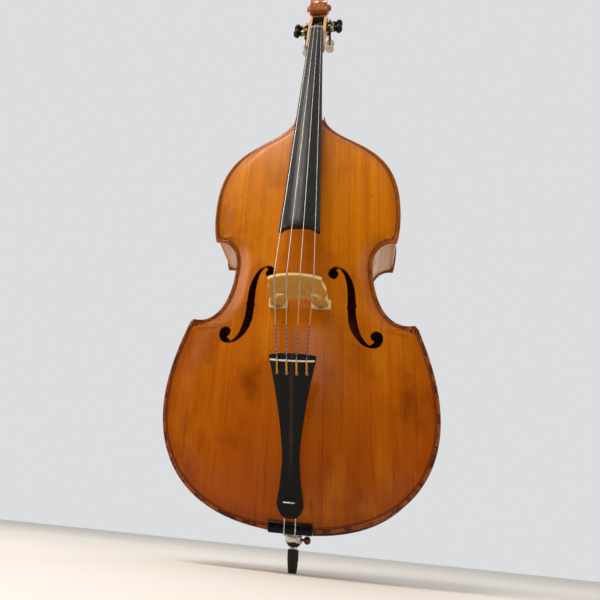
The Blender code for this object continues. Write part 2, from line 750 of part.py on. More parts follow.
def make_bridge():
    """The bridge stands on two screw wheels in two separate feet."""
    right = rounded_loop(BRIDGE_OUTLINE, 3)
    right = right[:right.index(BRIDGE_OUTLINE[-1][:2]) + 1]
    top = [(0.0595 * (1 - i / 6), bridge_crown(0.0595 * (1 - i / 6))) for i in range(13)]
    left = [(-x, h) for x, h in reversed(right[1:])]
    outline = right + top + left
    kidneys = [[(side * x, h) for x, h in rounded_loop(KIDNEY, 2)] for side in (-1, 1)]
    matrix = frame_matrix(at(0, 0, BRIDGE_Z), (1, 0, 0), (0, -1, 0))
    mesh = flat_solid([outline] + kidneys, 1.0, matrix)
    centre = at(0, 0, BRIDGE_Z).z
    for vert in mesh.vertices:
        height = FRONT - vert.co.y
        half = 0.0100 - 0.0070 * (height - 0.048) / (BRIDGE_TOP - 0.048)
        vert.co.z = centre + math.copysign(half, vert.co.z - centre)
    bridge = place("bridge", mesh, BRIDGE_WOOD)
    out = Vector((0, -1, 0))
    for side_name, side in SIDES:
        axis_point = at(side * BRIDGE_FOOT_X, 0, BRIDGE_Z)
        boolean(bridge, cylinder(axis_point, out, 0.0043, 0.040, 0.0635, 16))
        inner, outer = BRIDGE_FOOT_X - 0.023, BRIDGE_FOOT_X + 0.023
        rings = []
        for x in (inner, BRIDGE_FOOT_X, outer):
            ring = []
            for dz in (-0.011, 0.011):
                lift = arch(x, BRIDGE_Z + dz, BELLY_ARCH) + GAP
                ring.append(at(side * x, -lift, BRIDGE_Z + dz))
            ring.append(at(side * x, -FOOT_TOP, BRIDGE_Z + 0.011))
            ring.append(at(side * x, -FOOT_TOP, BRIDGE_Z - 0.011))
            rings.append(ring)
        foot = place(f"bridge_foot_{side_name}", loft(rings), BRIDGE_WOOD)
        boolean(foot, cylinder(axis_point, out, 0.0043, 0.0, 0.06, 16))
        low = FOOT_TOP + GAP
        high = low + WHEEL_THICKNESS
        profile = ((0, 0.0625), (0.0038, 0.0625), (0.0040, 0.0620), (0.0040, high),
                   (WHEEL_RADIUS, high), (WHEEL_RADIUS, low), (0.0040, low), (0.0040, 0.0300),
                   (0, 0.0300))
        turned(f"adjuster_wheel_{side_name}", profile, axis_point, out, ALUMINIUM, 20)


# ---------------------------------------------------------------- tailpiece and its wire
def tail_line(z):
    """Height of the straight line from the saddle to the bridge's top."""
    return TAIL_RISE + (BRIDGE_TOP - TAIL_RISE) / BRIDGE_Z * z


TAIL_WIDTHS = (                         # z and half width, from the lower end to the top
    (0.026, 0.0090), (0.032, 0.0190), (0.048, 0.0275), (0.066, 0.0265), (0.095, 0.0220),
    (0.150, 0.0188), (0.220, 0.0270), (0.290, 0.0400), (0.330, 0.0495), (0.341, 0.0514),
)


def tail_underside(z):
    """How far the tailpiece's underside lies below its line: it thins towards the lower end."""
    return TAIL_END_THICKNESS + (TAIL_THICKNESS - TAIL_END_THICKNESS) * smooth((z - 0.03) / 0.09)


def tail_crown(x, half):
    """Height of the tailpiece's crowned front over its edge plane."""
    return crown(x, half, TAIL_RADIUS)


def make_tailpiece():
    """The ebony tailpiece: a crowned slab, tapered and waisted, with holes for the strings."""
    rings = []
    for z, half in TAIL_WIDTHS:
        line = tail_line(z)
        under = tail_underside(z)
        ring = [at(half, -line + under, z), at(-half, -line + under, z)]
        for i in range(9):
            x = half * (i / 4 - 1)
            ring.append(at(x, -line + 0.006 - tail_crown(x, half) * 0.8, z))
        rings.append(ring)
    tailpiece = place("tailpiece", loft(rings), EBONY)
    slope = Vector((0, -(BRIDGE_TOP - TAIL_RISE), BRIDGE_Z)).normalized()
    normal = slope.cross(RIGHT).normalized()
    for _, _, place_in_row, _ in STRINGS:
        hole = at(place_in_row * STRING_STEP_TAIL, -tail_line(TAIL_HOLE_Z), TAIL_HOLE_Z)
        boolean(tailpiece, cylinder(hole, normal, 0.0032, -0.05, 0.05, 12))
    for side in (-1, 1):
        hole = at(side * WIRE_HALF, -tail_line(0.060), 0.060)
        boolean(tailpiece, cylinder(hole, normal, WIRE_RADIUS + 0.0009, -0.05, 0.05, 12))

    # The white fret over which the strings leave the tailpiece.
    half = 0.0480
    matrix = frame_matrix(at(0, -tail_line(TAIL_FRET_Z), TAIL_FRET_Z), RIGHT, normal)
    sign = 1 if normal.y < 0 else -1
    front = [(half * (i / 4 - 1), tail_crown(half * (i / 4 - 1), half) * 0.8) for i in range(9)]
    loop = [(x, sign * (h - 0.0010)) for x, h in front]
    loop += [(x, sign * (h - 0.0060)) for x, h in reversed(front)]
    place("tailpiece_fret", flat_solid([loop], 0.0035, matrix), WHITE)
    cut = [(x * 1.01, sign * (h + 0.010)) for x, h in front]
    cut += [(x * 1.01, sign * (h - 0.0060 - GAP)) for x, h in reversed(front)]
    boolean(tailpiece, flat_solid([cut], 0.0035 + 2 * GAP, matrix))
    return sign * normal


def make_tail_wire(out):
    """The steel wire: through the tailpiece, over the saddle and round the endpin's collar."""
    ring_z = 0.0010
    loop_radius = GROOVE_RADIUS + WIRE_RADIUS + 0.0008
    bar = at(0, -tail_line(0.060), 0.060)
    crown_top = out * (0.0155)
    under = -out * (tail_underside(0.060) + 0.003)
    saddle_y = -0.0125 - WIRE_RADIUS - GAP
    side_run = [
        bar + crown_top, bar + under,
        at(0, saddle_y, SADDLE_TOP - 0.002),
        at(0, saddle_y, -0.003 - WIRE_RADIUS - GAP),
        at(0, BODY_DEPTH / 2 - 0.0145, ring_z - 0.0045),
    ]
    points = [Vector((WIRE_HALF, p.y, p.z)) for p in side_run]
    centre = at(0, BODY_DEPTH / 2, ring_z - 0.0045)
    for i in range(11):
        turn = math.radians(-40 + 260 * i / 10)
        points.append(centre + Vector((loop_radius * math.cos(turn), loop_radius * math.sin(turn), 0)))
    points += [Vector((-WIRE_HALF, p.y, p.z)) for p in reversed(side_run)]
    place("tail_wire", tube(points, WIRE_RADIUS, True), STEEL)


# ---------------------------------------------------------------- endpin
def make_endpin():
    """Plug, collar and bush in the body; rod, ferrule and rubber tip slide through them."""
    up = (0, 0, 1)
    base = Vector((0, 0, 0))
    bore = ROD_RADIUS + 0.0004
    rib_face = BODY_BOTTOM + OVERHANG
    turned("endpin_plug", ((bore, 0.138), (0.0140, 0.138), (0.0153, rib_face - 0.0010),
                           (bore, rib_face - 0.0010)), base, up, EBONY, 24)
    groove = BODY_BOTTOM - 0.0035
    top = rib_face - 0.0013
    collar = turned("endpin_collar", ((bore, top), (0.0180, top), (0.0180, groove + 0.0025),
                                      (GROOVE_RADIUS, groove + 0.0018), (GROOVE_RADIUS, groove - 0.0018),
                                      (COLLAR_RADIUS, groove - 0.0025), (COLLAR_RADIUS, 0.0610),
                                      (0.0175, 0.0600), (bore, 0.0600)), base, up, NICKEL, 24)
    boolean(collar, cylinder((0, 0, SCREW_Z - 0.004), RIGHT, 0.0033, 0, 0.04, 16))
    turned("collar_bush", ((bore, 0.0597), (0.0155, 0.0597), (0.0100, 0.0523), (bore, 0.0523)),
           base, up, RUBBER, 24)
    turned("endpin_rod", ((0, ROD_TOP), (0.004, ROD_TOP), (ROD_RADIUS, ROD_TOP - 0.001),
                          (ROD_RADIUS, 0.0103), (0, 0.0103)), base, up, STEEL, 20)
    turned("endpin_ferrule", ((0.0053, 0.0520), (0.0085, 0.0520), (0.0092, 0.0510),
                              (0.0092, 0.0473), (0.0053, 0.0473)), base, up, NICKEL, 16)
    turned("endpin_tip", ((0, 0.0100), (0.0053, 0.0100), (0.0053, 0.0470), (0.0115, 0.0470),
                          (0.0125, 0.0440), (0.0122, 0.0250), (0.0095, 0.0015), (0.0080, 0.0000),
                          (0, 0.0000)), base, up, RUBBER, 24)
    turned("endpin_thumbscrew", ((0, 0.0380), (0.0040, 0.0372), (0.0080, 0.0335), (0.0085, 0.0300),
                                 (0.0078, 0.0265), (0.0045, 0.0232), (0.0030, 0.0225),
                                 (0.0030, 0.0060), (0, 0.0060)),
           Vector((0, 0, SCREW_Z - 0.004)), RIGHT, KNOB_BROWN, 20)


# ---------------------------------------------------------------- tuning machines
def make_machine(number, side, s):
    """One machine: peg with its hat, gear, worm, key and the plate that carries the worm."""
    label = f"{number + 1}"
    axis_point = peg_point(0, s, PEG_DEPTH)
    out = RIGHT * side
    far = -(CHEEK_X - 0.0015)
    profile = ((0, 0.0840), (0.0060, 0.0830), (0.0125, 0.0780), (0.0150, 0.0720), (0.0140, 0.0660),
               (0.0080, 0.0620), (0.0075, 0.0600), (0.0105, 0.0580), (0.0105, 0.0550),
               (0.0050, 0.0550), (0.0050, CHEEK_X + 0.0022), (PEG_RADIUS, CHEEK_X + 0.0022),
               (PEG_RADIUS, far), (0, far))
    turned(f"peg_{label}", profile, axis_point, out, EBONY, 12)

    # The gear, with one tooth pointing down at the worm, and its boss.
    pitch_turn = 2 * math.pi / GEAR_TEETH
    loop = []
    for i in range(GEAR_TEETH):
        middle = math.pi + pitch_turn * i
        for radius, half in ((GEAR_ROOT, 0.0012), (GEAR_OUTER, 0.0005)):
            loop.append((radius, middle - half / radius))
        for radius, half in ((GEAR_OUTER, 0.0005), (GEAR_ROOT, 0.0012)):
            loop.append((radius, middle + half / radius))
    teeth = [(r * math.cos(a), r * math.sin(a)) for r, a in loop]
    bore = [(0.0053 * math.cos(math.radians(a)), 0.0053 * math.sin(math.radians(a)))
            for a in range(0, 360, 36)]
    gear_plane = frame_matrix(axis_point + out * GEAR_X, PEG_UP, PEG_BACK)
    gear = place(f"gear_{label}", flat_solid([teeth, bore], GEAR_WIDTH, gear_plane), BRASS)
    boss = bmesh.new()
    ring = [(0.0100, 0.0547), (0.0100, 0.0425), (0.0053, 0.0425), (0.0053, 0.0547)]
    basis = frame_matrix(axis_point, PEG_UP, out.cross(PEG_UP))
    rows = []
    for i in range(BOSS_SIDES):
        turn = 2 * math.pi * i / BOSS_SIDES
        rows.append([boss.verts.new(basis @ Vector((r * math.cos(turn), r * math.sin(turn), h)))
                     for r, h in ring])
    for a, b in zip(rows, rows[1:] + rows[:1]):
        for i in range(4):
            j = (i + 1) % 4
            boss.faces.new((a[i], b[i], b[j], a[j]))
    collar = as_mesh(boss)
    boolean(gear, collar, "UNION")

    # The worm: a shaft with a right-hand thread, turning about the line that points back.
    worm_point = peg_point(side * GEAR_X, s - WORM_CENTRES, PEG_DEPTH)
    profile = ((0, 0.0467), (WORM_SHAFT, 0.0467), (WORM_SHAFT, 0.0083), (WORM_ROOT, 0.0083),
               (WORM_ROOT, -0.0083), (WORM_SHAFT, -0.0083), (WORM_SHAFT, -0.0150), (0, -0.0150))
    worm = turned(f"worm_{label}", profile, worm_point, PEG_BACK, BRONZE, 12)
    rings = []
    for i in range(-12, 13):
        turn = 2 * math.pi * (i / THREAD_STEPS - 0.5)
        along = WORM_PITCH * i / THREAD_STEPS
        spoke = PEG_UP * math.cos(turn) + PEG_BACK.cross(PEG_UP) * math.sin(turn)
        ring = []
        for radius, half in ((0.0034, -0.0012), (WORM_OUTER, -0.00045), (WORM_OUTER, 0.00045),
                             (0.0034, 0.0012)):
            ring.append(worm_point + spoke * radius + PEG_BACK * (along + half))
        rings.append(ring)
    thread = loft(rings)
    thread.transform(worm.matrix_world.inverted())
    tool = boolean_local(worm, thread)
    tool.matrix_world = worm.matrix_world

    key_point = peg_point(side * GEAR_X, s - WORM_CENTRES, PEG_DEPTH + KEY_DEPTH)
    place(f"key_{label}", cylinder(key_point, PEG_UP, KEY_RADIUS, -0.0015, 0.0015, 24), NICKEL)

    # The plate on the cheek, with two lugs that the worm turns in.
    matrix = frame_matrix(peg_point(0, s, PEG_DEPTH), RIGHT, PEG_UP)
    back = matrix.to_3x3() @ Vector((0, 0, 1))
    flip = 1 if back.dot(PEG_BACK) > 0 else -1

    def box(x_low, x_high, s_low, s_high, d_low, d_high):
        xs = sorted((side * x_low, side * x_high))
        ds = sorted((flip * d_low, flip * d_high))
        return block(matrix, (xs[0], s_low, ds[0]), (xs[1], s_high, ds[1]))

    plate = place(f"machine_plate_{label}",
                  box(CHEEK_X + 0.0004, CHEEK_X + 0.0020, -0.0300, 0.0180, -0.0180, 0.0200), BRONZE)
    for low, high in ((-0.0132, -0.0087), (0.0087, 0.0132)):
        boolean(plate, box(CHEEK_X + 0.0010, 0.0450, -WORM_CENTRES - 0.0058,
                           -WORM_CENTRES + 0.0058, low, high), "UNION")
    boolean(plate, cylinder(worm_point, PEG_BACK, WORM_SHAFT + 0.0004, -0.02, 0.02, 10))
    boolean(plate, cylinder(axis_point, out, 0.0080, 0.02, 0.04, 12))


def boolean_local(obj, mesh):
    """Join a mesh given in the object's own axes, and give back the tool."""
    boolean(obj, mesh, "UNION")
    return bpy.data.objects[f"{obj.name}_tool"]


# ---------------------------------------------------------------- strings
def make_string(name, radius, row, machine):
    """One string: tailpiece hole, fret, bridge, nut, and turns round its peg."""
    lift = radius + GAP
    x_tail, x_bridge, x_nut = row * STRING_STEP_TAIL, row * STRING_STEP_BRIDGE, row * STRING_STEP_NUT
    slope = Vector((0, -(BRIDGE_TOP - TAIL_RISE), BRIDGE_Z)).normalized()
    out = Vector((0, -slope.z, slope.y))
    fret = at(x_tail, -tail_line(TAIL_FRET_Z), TAIL_FRET_Z)
    fret += out * (tail_crown(x_tail, 0.0480) * 0.8 - 0.0010 + lift)
    hole = at(x_tail, -tail_line(TAIL_HOLE_Z), TAIL_HOLE_Z)
    half_there = 0.0430
    surface = tail_crown(x_tail, half_there) * 0.8 - 0.006
    points = [hole - out * 0.010, hole + out * (surface + lift + 0.0008),
              fret - slope * 0.0025, fret + slope * 0.0025]
    bridge_high = bridge_crown(x_bridge) + lift
    points += [at(x_bridge, -bridge_high, BRIDGE_Z - 0.0037), at(x_bridge, -bridge_high, BRIDGE_Z + 0.0037)]
    nut_high = nut_top(x_nut) + lift
    points += [neck_point(x_nut, 0.0004, nut_high), neck_point(x_nut, -NUT_LENGTH - 0.0010, nut_high)]

    side, s = MACHINES[machine]
    reach = PEG_RADIUS + lift
    leave = points[-1]
    origin = peg_point(0, 0, 0)
    start = Vector(((leave - origin).dot(PEG_UP), (leave - origin).dot(PEG_BACK)))
    span = Vector((s, PEG_DEPTH)) - start
    tilt = math.atan2(span.y, span.x) - math.asin(reach / span.length)
    pitch = 2 * radius + 0.0006
    x_start = max(min(x_nut, PEGBOX_SLOT - 4 * pitch), -(PEGBOX_SLOT - 4 * pitch))
    for i in range(21):
        turn = tilt + 2 * math.pi * i / 10
        x = x_start + math.copysign(pitch * i / 10, row)
        points.append(peg_point(x, s + reach * math.sin(turn), PEG_DEPTH - reach * math.cos(turn)))
    place(name, tube(points, radius), STEEL)


make_body()
make_neck()
make_fingerboard()
make_nut()
make_bridge()
make_tail_wire(make_tailpiece())
make_endpin()
for index, (machine_side, distance) in enumerate(MACHINES):
    make_machine(index, machine_side, distance)
for string in STRINGS:
    make_string(*string)
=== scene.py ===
# %% [markdown]
# A three-quarter size double bass, about 1.82 m tall.  The solid model of its parts is loaded as a
# fixed frame: every wooden and metal part already sits in its true place there.  This lesson puts
# finer pieces around that frame and gives each one its finish.  Lengths are in metres, +Z is up,
# the belly faces -Y and the thick strings lie on the -X side.

# %% Load the frame
import math

import bmesh
import bpy
import numpy as np
from mathutils import Matrix, Vector


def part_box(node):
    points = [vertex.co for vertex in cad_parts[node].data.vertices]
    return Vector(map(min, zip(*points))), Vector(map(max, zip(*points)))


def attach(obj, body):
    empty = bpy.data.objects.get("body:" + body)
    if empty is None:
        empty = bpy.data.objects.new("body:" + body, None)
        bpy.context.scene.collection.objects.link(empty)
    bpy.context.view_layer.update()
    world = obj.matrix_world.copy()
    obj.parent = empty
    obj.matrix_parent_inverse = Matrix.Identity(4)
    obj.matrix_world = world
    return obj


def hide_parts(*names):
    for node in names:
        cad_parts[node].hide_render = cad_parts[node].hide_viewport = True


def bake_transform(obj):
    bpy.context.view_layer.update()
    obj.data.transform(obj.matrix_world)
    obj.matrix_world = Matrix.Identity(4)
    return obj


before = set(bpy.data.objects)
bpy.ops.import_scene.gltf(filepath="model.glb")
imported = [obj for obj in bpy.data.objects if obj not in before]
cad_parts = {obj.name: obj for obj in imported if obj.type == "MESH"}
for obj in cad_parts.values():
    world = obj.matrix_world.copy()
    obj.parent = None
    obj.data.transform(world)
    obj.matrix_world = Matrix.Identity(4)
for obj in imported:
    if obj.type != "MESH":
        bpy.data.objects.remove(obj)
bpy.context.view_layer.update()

# %% [markdown]
# Most places follow from a few sizes.  The frame's own boxes give the body's edge planes and the
# bridge's line, so that the pieces here stay true to the solid model.

# %% Driving sizes, some read from the frame
rib_low, rib_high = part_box("rib_waist_bass")
PLATE = 0.0065
GAP = 0.0003
FRONT = rib_low[1] - PLATE - GAP
BODY_DEPTH = rib_high[1] + PLATE + GAP - FRONT
BODY_BOTTOM = 0.078
BODY_LENGTH = 1.100
bridge_low, bridge_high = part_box("bridge")
BRIDGE_Z = (bridge_low[2] + bridge_high[2]) / 2 - BODY_BOTTOM
BRIDGE_TOP = FRONT - bridge_low[1]
NECK_ANGLE = math.radians(13.3)
PEG_ANGLE = math.radians(25.0)
NUT = (0.0772, 1.5244)
UP = Vector((0, 0, 1))
RIGHT = Vector((1, 0, 0))
OUT = Vector((0, -1, 0))
SIDES = (("bass", -1), ("treble", 1))
print(f"body {BODY_DEPTH * 1000:.0f} mm deep, bridge {BRIDGE_TOP * 1000:.0f} mm high at {BRIDGE_Z:.3f} m")


# %% [markdown]
# A luthier measures each part from its own reference: the body from the belly's edge, the neck
# from the nut, the pegbox from its front face.  Three small functions do the same here, so that
# every size below can be given in the axes of the part that it belongs to.

# %% Places on the body, the neck and the pegbox
def at(x, y, z):
    """y counts back from the belly's edge plane, z up from the body's lower edge."""
    return Vector((x, y + FRONT, z + BODY_BOTTOM))


def neck_point(x, t, rise):
    """t down the neck from the nut, rise over the fingerboard's glue plane."""
    y = NUT[0] - math.sin(NECK_ANGLE) * t - math.cos(NECK_ANGLE) * rise
    z = NUT[1] - math.cos(NECK_ANGLE) * t + math.sin(NECK_ANGLE) * rise
    return at(x, y, z)


def peg_point(x, s, depth):
    """s up the pegbox from the nut, depth behind its front plane."""
    y = NUT[0] + math.sin(PEG_ANGLE) * s + math.cos(PEG_ANGLE) * depth
    z = NUT[1] + math.cos(PEG_ANGLE) * s - math.sin(PEG_ANGLE) * depth
    return at(x, y, z)


PEG_UP = (peg_point(0, 1, 0) - peg_point(0, 0, 0)).normalized()
PEG_BACK = (peg_point(0, 0, 1) - peg_point(0, 0, 0)).normalized()
print("the pegbox leans back", round(math.degrees(PEG_ANGLE)), "degrees")


# %% [markdown]
# Every piece is a mesh made from points and faces.  It could be modelled by hand with modifiers,
# but points worked out from sizes keep each piece true to its neighbours.  The first helper makes
# the object; the second cleans its mesh, gives it its finish, hangs it on its body and hides the
# parts of the frame that it stands for.

# %% Pieces
def piece(name, points, faces, finish, body="root", stands_for=(), sharp_over=40):
    """A visible piece: a mesh that rides on a body and may stand for parts of the frame."""
    mesh = bpy.data.meshes.new(name)
    mesh.from_pydata([tuple(p) for p in points], [], faces)
    return dress(name, mesh, finish, body, stands_for, sharp_over)


def dress(name, mesh, finish, body="root", stands_for=(), sharp_over=40):
    """Clean the mesh, give it its finish, hang it on its body and hide the frame's parts it stands for."""
    bm = bmesh.new()
    bm.from_mesh(mesh)
    bmesh.ops.remove_doubles(bm, verts=bm.verts, dist=1e-6)
    bmesh.ops.recalc_face_normals(bm, faces=bm.faces)
    bm.to_mesh(mesh)
    bm.free()
    mesh.shade_smooth()
    mesh.set_sharp_from_angle(angle=math.radians(sharp_over))
    for each in finish if isinstance(finish, (list, tuple)) else [finish]:
        mesh.materials.append(each)
    obj = bpy.data.objects.new(name, mesh)
    bpy.context.scene.collection.objects.link(obj)
    if body:
        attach(obj, body)
    if stands_for:
        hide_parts(*stands_for)
    return obj


# %% [markdown]
# Three ways of making a surface do most of the work: rings of points joined into a skin, like a
# lofted hull; a profile spun round an axis, like wood on a lathe; and a round wire swept along a
# path.  Rings that share their point count join face by face.

# %% Skins, turned shapes and wires
def skin(rings, caps=True):
    """Points and faces through closed rings that share one point count."""
    count = len(rings[0])
    points = [p for ring in rings for p in ring]
    faces = []
    for row in range(len(rings) - 1):
        for i in range(count):
            j = (i + 1) % count
            low, high = row * count, (row + 1) * count
            faces.append((low + i, low + j, high + j, high + i))
    if caps:
        faces.append(tuple(reversed(range(count))))
        faces.append(tuple(range(len(points) - count, len(points))))
    return points, faces


def frame_of(axis):
    """Two directions square to an axis and to each other."""
    axis = Vector(axis).normalized()
    other = RIGHT if abs(axis.x) < 0.9 else UP
    first = axis.cross(other).normalized()
    return axis, first, axis.cross(first)


def spun(profile, origin, axis, steps=48):
    """Points and faces of a turned shape: (radius, height) pairs round an axis."""
    axis, first, second = frame_of(axis)
    rings = []
    for radius, height in profile:
        radius = max(radius, 1e-5)
        ring = []
        for i in range(steps):
            turn = 2 * math.pi * i / steps
            spoke = first * math.cos(turn) + second * math.sin(turn)
            ring.append(Vector(origin) + axis * height + spoke * radius)
        rings.append(ring)
    hollow = profile[0][0] > 1e-4 and profile[-1][0] > 1e-4
    if hollow:
        rings.append(rings[0])
    return skin(rings, caps=not hollow)


def swept(path, radius, sides):
    """Points and faces of a round wire along a path."""
    path = [Vector(p) for p in path]
    rings = []
    first = None
    for i, point in enumerate(path):
        before, after = path[max(i - 1, 0)], path[min(i + 1, len(path) - 1)]
        along = (after - before).normalized()
        if first is None:
            first = frame_of(along)[1]
        first = (first - along * first.dot(along)).normalized()
        second = along.cross(first)
        ring = []
        for k in range(sides):
            turn = 2 * math.pi * k / sides
            ring.append(point + (first * math.cos(turn) + second * math.sin(turn)) * radius)
        rings.append(ring)
    return skin(rings)


def curved(points, steps):
    """A smooth path through a few given points."""
    points = [Vector(p) for p in points]
    path = []
    for i in range(len(points) - 1):
        p0, p3 = points[max(i - 1, 0)], points[min(i + 2, len(points) - 1)]
        p1, p2 = points[i], points[i + 1]
        for k in range(steps):
            t = k / steps
            path.append(0.5 * (2 * p1 + (p2 - p0) * t + (2 * p0 - 5 * p1 + 4 * p2 - p3) * t * t
                               + (3 * p1 - p0 - 3 * p2 + p3) * t ** 3))
    path.append(points[-1])
    return path


# %% [markdown]
# Holes and notches are cut with the Boolean modifier, as a maker cuts them with a drill or a
# knife.  The modifier is applied at once, so each tool can be thrown away.  Real edges are never
# quite sharp, so a small Bevel rounds them, and that is what catches the light.

# %% Cutting and rounding
def cut(obj, cutter):
    """Take one mesh out of another for good, and throw the tool away."""
    tool = bpy.data.objects.new("tool", cutter)
    bpy.context.scene.collection.objects.link(tool)
    modifier = obj.modifiers.new("cut", "BOOLEAN")
    modifier.object = tool
    modifier.solver = "EXACT"
    apply_modifiers(obj)
    bpy.data.objects.remove(tool, do_unlink=True)


def drilled(obj, radius, place, axis, steps, start=-0.05, end=0.05):
    """Drill a round hole in an object, from start to end along an axis."""
    bit = ((0, start), (radius, start), (radius, end), (0, end))
    cut(obj, tool_mesh(*spun(bit, place, axis, steps)))


def apply_modifiers(obj):
    """Swap an object's mesh for what its modifiers make of it."""
    bpy.context.view_layer.update()
    graph = bpy.context.evaluated_depsgraph_get()
    mesh = bpy.data.meshes.new_from_object(obj.evaluated_get(graph))
    obj.modifiers.clear()
    obj.data = mesh


def tool_mesh(points, faces):
    """A plain mesh to cut with, facing outwards."""
    mesh = bpy.data.meshes.new("tool")
    mesh.from_pydata([tuple(p) for p in points], [], faces)
    bm = bmesh.new()
    bm.from_mesh(mesh)
    bmesh.ops.recalc_face_normals(bm, faces=bm.faces)
    bm.to_mesh(mesh)
    bm.free()
    return mesh


EDGE_ANGLE = math.radians(50)


def bevelled(obj, width, segments):
    """Round the edges where an object's faces meet at more than EDGE_ANGLE."""
    modifier = obj.modifiers.new("round", "BEVEL")
    modifier.width = width
    modifier.segments = segments
    modifier.limit_method = "ANGLE"
    modifier.angle_limit = EDGE_ANGLE
    apply_modifiers(obj)
    obj.data.shade_smooth()
    obj.data.set_sharp_from_angle(angle=EDGE_ANGLE)
    return obj


# %% [markdown]
# A finish is a small network of shader nodes.  One helper adds a node, sets it up and joins its
# inputs.  Colours are written as the hex values that an eye would name, and one function turns
# them into linear light.

# %% Nodes and materials
def linear(colour):
    """An sRGB hex colour as linear red, green, blue and alpha."""
    channels = [int(colour[i:i + 2], 16) / 255 for i in (0, 2, 4)]
    return (*[c / 12.92 if c <= 0.04045 else ((c + 0.055) / 1.055) ** 2.4 for c in channels], 1)


def node(tree, kind, inputs=None, **settings):
    """Add a node, set it, and link or fill its inputs."""
    made = tree.nodes.new("ShaderNode" + kind)
    for name, value in settings.items():
        setattr(made, name, value)
    for name, value in (inputs or {}).items():
        if isinstance(value, bpy.types.NodeSocket):
            tree.links.new(value, made.inputs[name])
        else:
            made.inputs[name].default_value = value
    return made


def finish(name, roughness, metallic=0.0, **sockets):
    """A new material: its tree, its shader and itself."""
    made = bpy.data.materials.new(name)
    made.use_nodes = True
    shader = made.node_tree.nodes["Principled BSDF"]
    shader.inputs["Roughness"].default_value = roughness
    shader.inputs["Metallic"].default_value = metallic
    for socket, value in sockets.items():
        shader.inputs[socket.replace("_", " ")].default_value = value
    return made.node_tree, shader, made


# %% [markdown]
# Most of what the eye reads as wood or worn metal is a pattern of a real size, laid as a thin layer
# of colour over another.  The patterns use each piece's own coordinates, in metres, so a scale of
# 1000 / s repeats about every s millimetres.  A long size in one direction gives streaks there.

# %% Patterns and layers
def sized(tree, size_mm):
    """The piece's own coordinates, so that a pattern repeats about every size_mm, in x, y and z."""
    place = node(tree, "TexCoord").outputs["Object"]
    scale = [1000 / mm for mm in size_mm]
    return node(tree, "Mapping", {"Vector": place, "Scale": scale}).outputs["Vector"]


def pattern(tree, size_mm, detail=3.0, roughness=0.5):
    """Cloudy patches or streaks of a real size: they lie in the piece like grain in wood."""
    inputs = {"Vector": sized(tree, size_mm), "Scale": 1.0, "Detail": detail, "Roughness": roughness}
    return node(tree, "TexNoise", inputs).outputs["Fac"]


def both(tree, *limits):
    """High where two values are: each is given as value, low, high and perhaps least and most."""
    shares = []
    for value, low, high, *ends in limits:
        least, most = ends or (0.0, 1.0)
        inputs = {"Value": value, "From Min": low, "From Max": high, "To Min": least, "To Max": most}
        shares.append(node(tree, "MapRange", inputs, interpolation_type="SMOOTHSTEP").outputs["Result"])
    return node(tree, "Math", {0: shares[0], 1: shares[1]}, operation="MULTIPLY").outputs["Value"]


def layer(tree, base, colour, amount, low, high, least=0.0, most=1.0):
    """One more colour over a base: least of it where amount is low, most of it where it is high."""
    inputs = {"Value": amount, "From Min": low, "From Max": high, "To Min": least, "To Max": most}
    share = node(tree, "MapRange", inputs, interpolation_type="SMOOTHSTEP").outputs["Result"]
    inputs = {0: share, 6: base, 7: linear(colour)}
    return node(tree, "Mix", inputs, data_type="RGBA").outputs[2]


# %% [markdown]
# The camera stands low and a little to the right, looking up at the scroll, with a long enough
# view to take in the whole bass.  The lens is shifted, so the bass stands off the middle of its
# view while upright lines keep their lean.

# %% The camera
CAMERA_PLACE = Vector((0.1305, -1.4935, 0.0536))
PITCH, YAW, ROLL = (math.radians(a) for a in (26.47, -12.34, 5.91))
forward = Vector((math.sin(YAW) * math.cos(PITCH), math.cos(YAW) * math.cos(PITCH), math.sin(PITCH)))
level_right = forward.cross(UP).normalized()
level_up = level_right.cross(forward)
camera_right = level_right * math.cos(ROLL) + level_up * math.sin(ROLL)
camera_up = level_up * math.cos(ROLL) - level_right * math.sin(ROLL)
lens = bpy.data.cameras.new("camera")
lens.sensor_width = 36.0
lens.lens = 35.8
lens.shift_x, lens.shift_y = 0.1025, -0.0970
camera = bpy.data.objects.new("camera", lens)
turn = Matrix((camera_right, camera_up, -forward)).transposed().to_4x4()
camera.matrix_world = Matrix.Translation(CAMERA_PLACE) @ turn
bpy.context.scene.collection.objects.link(camera)
bpy.context.scene.camera = camera
bpy.context.scene.view_settings.view_transform = "Standard"   # keeps the varnish as warm as its colour
print("camera at", [round(v, 3) for v in CAMERA_PLACE])

# %% [markdown]
# The bass stands on a plain pale floor in a pale room.  Big soft lamps light it as windows do: one
# overhead, a window on the left and weaker fills.  The world is the room's light.  It is darker in
# front of the bass, so that dark wood does not turn grey with reflections, and the camera itself
# sees a plain pale colour instead.

# %% The floor and the room
tree, shader, FLOOR = finish("matt_floor", 0.85)
grey = pattern(tree, (900, 900, 900), 2.0)
tree.links.new(layer(tree, linear("E4DED4"), "E0DAD0", grey, 0.3, 0.7), shader.inputs["Base Color"])
FLOOR_HALF = 9.0
corners = [(-FLOOR_HALF, -FLOOR_HALF, 0), (FLOOR_HALF, -FLOOR_HALF, 0),
           (FLOOR_HALF, FLOOR_HALF, 0), (-FLOOR_HALF, FLOOR_HALF, 0)]
piece("pale_floor", corners, [(0, 1, 2, 3)], FLOOR, body=None)

